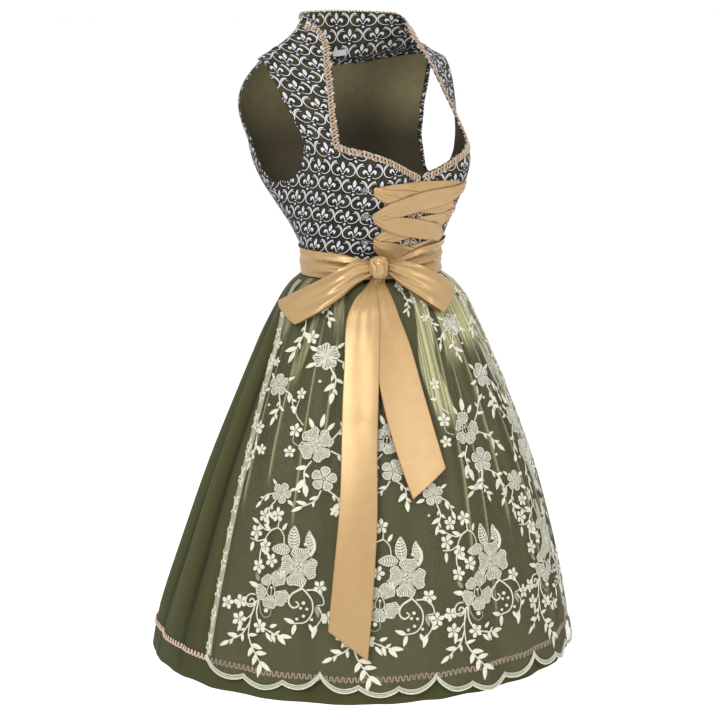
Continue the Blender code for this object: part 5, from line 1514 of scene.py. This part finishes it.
# Where each drawing lies: its middle's angle and height, its turn and size, and -1 if mirrored.
BOUQUETS = (
    ("bouquet", -65, -0.804, 2, 1, 1), ("bouquet", -33, -0.814, -3, 1, 1),
    ("bouquet", -2, -0.813, 3, 1, 1), ("bouquet", 31, -0.806, -2, 1, 1),
    ("bouquet", 64, -0.798, 2, 1, 1),
)
POSIES = (
    ("four posy", -56, -0.585, 4, 1, 1), ("cup posy", -29.5, -0.575, -6, 0.9, 1),
    ("cup posy", 5, -0.572, 4, 1, 1), ("four posy", 42, -0.58, -8, 1, -1),
    ("cup posy", 72, -0.575, 5, 0.95, 1),
)
SPRIGS = (
    ("five sprig", -78, -0.505, 0, 1, 1), ("four sprig", -57, -0.456, 8, 1.15, 1),
    ("five sprig", 25, -0.5, -10, 1.1, 1), ("four sprig", 16, -0.418, 0, 0.95, -1),
    ("five sprig", -66, -0.66, 12, 0.9, -1), ("five sprig", 56, -0.47, 6, 1, 1),
    ("five sprig", -14, -0.66, -6, 0.95, 1), ("five sprig", 84, -0.46, 0, 0.9, -1),
    ("five sprig", 24, -0.665, 10, 0.95, -1), ("four sprig", 62, -0.4, 0, 0.85, 1),
    ("five sprig", 58, -0.68, 0, 0.95, 1), ("twig", -82, -0.6, 6, 1, 1),
    ("twig", -73, -0.425, 0, 1.25, 1), ("twig", -44, -0.68, 12, 0.9, -1),
    ("twig", -12, -0.375, 10, 0.75, 1), ("twig", 36, -0.415, -12, 0.9, 1),
    ("twig", 8, -0.655, 0, 0.8, -1), ("twig", -20, -0.5, 0, 0.85, 1),
    ("twig", 45, -0.67, 8, 0.9, 1), ("twig", 77, -0.665, -6, 0.95, -1),
    ("twig", -88, -0.47, 0, 0.85, 1), ("twig", 2, -0.4, 0, 0.7, -1),
    ("twig", 72, -0.45, 12, 0.9, 1), ("twig", 84, -0.38, 0, 0.8, 1),
    ("twig", 44, -0.37, 0, 0.75, -1), ("twig", -60, -0.385, 0, 0.8, -1),
)


def lay(target, drawing, angle, height, turn, size, hand):
    """Lays a flat drawing on the apron about a place: x is a length round the apron and y a
    length down its slant, and z is off its face. A mirrored drawing's faces are turned back."""
    points = np.concatenate(drawing.points)
    cos, sin = math.cos(math.radians(turn)) * size, math.sin(math.radians(turn)) * size
    x = hand * (points[:, 0] * cos - points[:, 1] * sin)
    y = points[:, 0] * sin + points[:, 1] * cos
    middle, tiny = math.radians(angle), 0.01
    radius, above, below = (skirt_radius(np.array(middle), np.array(height + step), 0.0)
                            for step in (0.0, tiny, -tiny))
    level = height + y / math.hypot(1.0, (above - below) / (2 * tiny))
    edge = APRON_EDGE(level) + 0.7
    theta = np.clip(middle + x / (radius + 0.010),
                    np.radians(edge_shift(-edge, level) - edge), np.radians(edge))
    placed = apron_point(theta, level) \
        + normals_of(apron_point, theta, level) * (points[:, 2:] + OFF_NET)
    faces = np.concatenate(drawing.faces)
    target.add(placed, np.concatenate(drawing.flats), faces[:, ::-1] if hand < 0 else faces,
               np.concatenate(drawing.slots))


def embroidery():
    """The embroidery in three pieces: above the hem, across the middle and at the top."""
    drawings = {"bouquet": big_bouquet(), "cup posy": middle_posy(cup_flower, 2.7),
                "four posy": middle_posy(four_flower, 2.9),
                "five sprig": small_sprig(five_flower, 1.75, 100),
                "four sprig": small_sprig(four_flower, 1.9, 20), "twig": top_sprig()}
    for word, places in (("lower", BOUQUETS), ("middle", POSIES), ("upper", SPRIGS)):
        piece = Piece()
        for kind, *place in places:
            lay(piece, drawings[kind], *place)
        piece.make(f"embroidery_{word}", (THREAD, SAGE, FILLING), "lace", seen=False)


def edging_wall(piece, theta, height, flat, slot):
    """A narrow strip on the apron's face between these lines. It gives its outer face and its
    normals."""
    theta, height = np.broadcast_arrays(theta, height)
    normal = normals_of(apron_point, theta, height)
    outer = apron_point(theta, height) + normal * 0.0005
    piece.wall(outer, outer - normal * 0.0010, np.stack(np.broadcast_arrays(*flat), -1),
               slots=(slot, slot))
    return outer, normal


def apron_edging():
    """The corded scallops of the apron's hem and the strips of lace down its two sides."""
    piece = Piece()
    across = np.linspace(-1, 1, 901)[:, None]
    theta, height = apron_grid(across, np.ones((1, 1)))
    height = height + np.array([0.0, 0.0056])
    outer, normal = edging_wall(piece, theta, height, (height * 0.7, across * 0.52), 1)
    for share, size in ((0.0, 0.0012), (0.5, 0.0006), (1.0, 0.0009)):
        line = outer[::2, 0] * (1 - share) + outer[::2, 1] * share
        piece.cords(line + normal[::2, 0] * 0.0002, size, normal[::2, 0])
    for side in (-1, 1):
        end = scallop_hem(np.radians(side * APRON_HALF))
        height = np.linspace(-0.352, end + 0.002, 260)[:, None]
        half = np.radians(APRON_EDGE(height))
        wide = np.array([0.0, 0.5, 1.0]) * 0.0105
        theta = side * (half - wide / skirt_radius(half, height, 0.0)) \
            + np.radians(edge_shift(side * np.degrees(half), height))
        outer, normal = edging_wall(piece, theta, height, (theta * 0.3, height * 0.7), 3)
        for column, size in ((0, 0.0008), (2, 0.0006)):
            piece.cords(outer[::2, column], size, normal[::2, column], slot=3)
        for k, level in enumerate(np.arange(-0.385, end + 0.008, -0.0085)):
            if k % 5 in (3, 4):
                continue
            bit = Piece()
            for angle in ((50, 130, 265), (85, 200, 330), (30, 160, 250))[k % 3]:
                leaf(bit, 0.0, 0.0, angle + 17 * math.sin(k * 2.3), 0.95, 0.55, rows=4)
            bud(bit, 0.0, 0.0, 0.2)
            turn = side * APRON_EDGE(level)
            lay(piece, bit, float(turn + edge_shift(turn, level) - side * 0.35), level, 0, 1.0,
                side)
    piece.make("apron_edging", (THREAD, SAGE, FILLING, HEMMED), "lace", seen=False)


# ---------------- sash and bow
# Creases of the sash: u is degrees * 2 round the waist, and v is the height in mm.
SASH_CREASES = (
    (-225, -309, -66, -318.5, 4.2, 1.6), (-220, -320.5, -68, -326.5, 4, -1.6),
    (-230, -332, -64, -334.5, 4, 1.3), (-160, -324.5, -75, -331, 2.2, -0.8),
    (-130, -304, -70, -315, 2.4, -0.9), (-150, -314, -90, -320, 2, 0.7),
    (-44, -322, 50, -299, 3.4, 1.8), (-44, -325, 75, -309, 3, -1.8),
    (-44, -328, 100, -318, 3.2, 2), (-44, -331, 80, -327, 2.6, -1.8),
    (-44, -334, 120, -334, 3, 1.8), (-44, -337, 60, -341.5, 2.4, -1.2),
    (-30, -316, 30, -294, 2.4, -1.2), (10, -304, 85, -295, 3, 1.4), (50, -311, 140, -301, 3, -1.5),
    (60, -321, 165, -311, 3, 1.6), (70, -336, 180, -325, 3, -1.6), (90, -298, 200, -297, 3.4, 1.2),
    (100, -329, 220, -333, 3.2, 1.4), (120, -316, 230, -318, 3.4, -1.4),
    (55, -301, 75, -322, 3, 1.2), (105, -304, 122, -327, 3.2, -1.2), (80, -340, 200, -342, 2.6, 1),
    (210, -306, 360, -312, 4, 1.4), (200, -328, 350, -326, 4, -1.4),
    (-360, -310, -210, -306, 4, -1.2), (-350, -326, -200, -325, 4.2, 1.3),
    (260, -337, 360, -338, 4, 1),
)


def sash():
    """The ribbon round the waist, in soft creases that fan from the knot."""
    angle = np.linspace(-180, 180, 384, endpoint=False)[:, None]
    top, bottom, stand = SASH_EDGES(angle)
    across = np.linspace(0, 1, 30)[None, :]
    height = top * (1 - across) + bottom * across
    grid = torso(np.radians(angle), height)
    normal = facing(grid, True)
    lift = 1.5 * creases(angle * 0.002, height, SASH_CREASES)
    fine = 0.00025 * np.sin(angle * 0.55 + 40 * np.sin(across * 3)) * np.sin(across * 9)
    lift = np.maximum(lift + fine, 0.0005 - stand)
    outer = grid + normal * (stand + CLOTH + lift)[..., None]
    piece = Piece()
    flat = np.stack([angle * 0.0021 + 0 * height, height], -1)
    piece.wall(outer, outer - normal * CLOTH * 0.8, flat, ring=True)
    for column in (0, -1):
        piece.cords(outer[:, column] - normal[:, column] * 0.0006, 0.0005, normal[:, column],
                    sides=5, closed=True, slot=1)
    piece.make("waist_sash", (RIBBON, RIBBON_EDGE), "ribbon", flat=(0.76, 0.048),
               held="stretched", area=0.033, rests_on=["bodice_front_left", "bodice_back"])


def bow_loop(name, table, puff):
    """A loop of the bow: out from the knot along the front layer, round the far fold and back
    behind it. Gathers run out from the knot and die away, and the layers swell apart."""
    out = np.linspace(0, 1, 44)
    *edges, gap = (values[:, None] for values in table(out))
    across = np.linspace(0, 1, 26)[None, :]
    angle, height, radius = (high * (1 - across) + low * across
                             for high, low in zip(edges[:3], edges[3:]))
    along = out[:, None]
    near = (1 - along) ** 1.4
    front = (puff * np.sin(math.pi * across) ** 0.8 * np.sin(math.pi * np.minimum(along * 0.8, 0.5))
             + 0.0021 * near * np.cos(across * 21 + 2.0 * along)
             + 0.0014 * (1 - 0.6 * along) * np.cos(across * 11 + 3.5 * along + 0.6)
             + 0.0007 * np.sin(across * 6 - 7 * along))
    behind = 0.0010 * near * np.cos(across * 17 + 1) + 0.0006 * np.cos(across * 8 - 3 * along)
    reach = math.copysign(1.0, angle[-1, 0] - angle[0, 0]) * 1.6
    turn = np.linspace(0, math.pi, 9)[1:-1, None]
    high, low = radius[-1:] + front[-1:], radius[-1:] - gap[-1:] + behind[-1:]
    fold = (angle[-1:] + reach * np.sin(turn), height[-1:] + 0 * turn,
            (high + low) / 2 + (high - low) / 2 * np.cos(turn))
    theta, height, radius = (np.concatenate([a, b, c[::-1]]) for a, b, c in
                             zip((angle, height, radius + front), fold,
                                 (angle, height, radius - gap + behind)))
    grid = round_axis(np.radians(theta), radius, height)
    normal = unit(np.cross(np.gradient(grid, axis=0), np.gradient(grid, axis=1)))
    if (normal[5] * (grid[5] - (0.0, SKIRT_CENTRE, 0.0)) * (1, 1, 0)).sum() < 0:
        normal = -normal
    piece = Piece()
    piece.wall(grid + normal * 0.0005, grid - normal * 0.0005, spread(grid), slots=(0, 2))
    for column in (0, -1):
        edged(piece, grid[:, column], normal[:, column])
    length = float(lengths(grid[:, 13])[-1])
    piece.make(name, (RIBBON, RIBBON_EDGE, RIBBON_BACK), "ribbon",
               flat=(round(length, 3), 0.046), held="folded",
               area=round(length * 0.046 * 0.8, 5), rests_on=["waist_sash", "apron"])


def bow_tail(name, table, stand, seed):
    """A tail of the bow, from behind the knot down over the apron to its slanting end, with
    gathers where it leaves the knot and slow waves further down."""
    run = np.linspace(0, 1, 120)
    left_angle, left, right_angle, right = (values[:, None] for values in table(run))
    across = np.linspace(0, 1, 18)[None, :]
    theta = np.radians(left_angle * (1 - across) + right_angle * across)
    height = left * (1 - across) + right * across
    along = run[:, None]
    near = bump(along, 0.13)
    lift = (0.0018 * near * (1 + np.cos(across * 20 + 3 * along + seed))
            + 0.0004 * (1 + np.sin(across * 3.4 + 9 * along + seed)) * fade(along, 0.06, 0.3)
            + 0.0004 * (1 + np.cos(across * 9 - 6 * along + seed)) * fade(along, 0.9, 0.2)
            + 0.0015)
    grid = round_axis(theta, hip_radius(theta, height) + stand + lift, height)
    normal = facing(grid)
    piece = Piece()
    piece.wall(grid + normal * 0.0008, grid, spread(grid), slots=(0, 2))
    middle = grid + normal * 0.0005
    for line in (middle[:, 0], middle[:, -1]):
        edged(piece, line, normal[:, 0])
    edged(piece, middle[-1], normal[-1])
    length = float(lengths(grid[:, 9])[-1])
    piece.make(name, (RIBBON, RIBBON_EDGE, RIBBON_BACK), "ribbon",
               flat=(round(length, 3), 0.047), held="hung",
               area=round(length * 0.047 * 0.92, 5), rests_on=["apron"])


def bow_knot():
    """The knot: a rounded lump of ribbon wrapped round, pinched into deep upright gathers."""
    up = np.linspace(0.04, math.pi - 0.04, 44)[None, :]
    turn = circle(128)[:, None]
    lean = turn + 0.7 * np.cos(up) + 0.2 * np.sin(3 * up)
    groove = (0.13 * np.cos(7 * lean + 1.3 * np.cos(up * 2)) + 0.10 * np.cos(12 * lean + 3 * up)
              + 0.12 * np.cos(3 * turn + 1.0 + 2 * up)) * np.sin(up) ** 0.4
    wide = 0.0152 * np.sin(up) ** 0.75 * (0.92 + groove) * (1 + 0.12 * np.cos(up))
    z = 0.0182 * boxy(np.cos(up), 0.8) + 0 * turn
    ball = np.stack([wide * boxy(np.cos(turn), 0.85), 0.64 * wide * boxy(np.sin(turn), 0.85), z],
                    -1)
    theta = math.radians(KNOT_ANGLE - 3.5)
    spin = np.array([[math.cos(theta), -math.sin(theta), 0], [math.sin(theta), math.cos(theta), 0],
                     [0, 0, 1]])
    away = np.array([math.sin(theta), -math.cos(theta), 0.0])
    outer = ball @ spin.T + torso(theta, -0.3235) + away * (SASH_FRONT + 0.0142)
    middle = outer.mean(0, keepdims=True)
    piece = Piece()
    piece.wall(outer, middle + (outer - middle) * 0.9,
               np.stack([z, turn * 0.012 + 0 * up], -1), ring=True)
    piece.make("bow_knot", (RIBBON,), "ribbon", sharp=80)


# ---------------- studio
def lamp(name, place, aim, size, watts):
    """A square soft light at a place, turned to its aim."""
    light = bpy.data.lights.new(name, "AREA")
    light.shape, light.size, light.energy = "SQUARE", size, watts
    holder = bpy.data.objects.new(name, light)
    holder.location = place
    away = np.subtract(place, aim)
    flat = math.hypot(away[0], away[1])
    holder.rotation_euler = (math.atan2(flat, away[2]), 0.0, math.atan2(away[0], -away[1]))
    bpy.context.scene.collection.objects.link(holder)


def studio():
    """A plain pale floor, a white world, soft lights and the camera."""
    white = Look("white_floor", Base_Color=(0.96, 0.96, 0.96, 1.0), Roughness=0.9)
    mesh = bpy.data.meshes.new("floor")
    corners = [(-150, -150, 0), (150, -150, 0), (150, 150, 0), (-150, 150, 0)]
    mesh.from_pydata(corners, [], [(0, 1, 2, 3)])
    mesh.materials.append(white.material)
    floor = bpy.data.objects.new("floor", mesh)
    floor.location = (0.0, 0.0, -1.38)
    bpy.context.scene.collection.objects.link(floor)
    world = bpy.data.worlds.new("white_room")
    world.use_nodes = True
    background = world.node_tree.nodes["Background"]
    background.inputs["Color"].default_value = (1.0, 1.0, 1.0, 1.0)
    background.inputs["Strength"].default_value = 1.04
    bpy.context.scene.world = world
    middle = (0.0, -0.02, -0.45)
    lamp("key_light", (-3.3, -2.0, 1.9), middle, 1.3, 150.0)
    lamp("fill_light", (0.6, -3.6, 0.9), middle, 1.6, 55.0)
    lamp("rim_light", (2.4, 1.6, 2.0), middle, 1.2, 60.0)
    eye = bpy.data.cameras.new("camera")
    eye.lens, eye.sensor_width = 98.0, 36.0
    camera = bpy.data.objects.new("camera", eye)
    turn = math.radians(-35.5)
    camera.location = (math.sin(turn) * 3.2, -math.cos(turn) * 3.2 - 0.021, 0.10)
    camera.rotation_euler = (math.radians(90 - 10.6), 0.0, turn)
    bpy.context.scene.collection.objects.link(camera)
    bpy.context.scene.camera = camera
    bpy.context.scene.view_settings.view_transform = "Standard"


bodice()
collar()
front_zip()
lacing()
skirt()
apron()
apron_edging()
embroidery()
sash()
bow_loop("bow_loop_right", LOOP_RIGHT, 0.003)
bow_loop("bow_loop_left", LOOP_LEFT, 0.003)
bow_tail("bow_tail_long", TAIL_LONG, 0.0023, 0.4)
bow_tail("bow_tail_short", TAIL_SHORT, 0.0002, 2.1)
bow_knot()
studio()
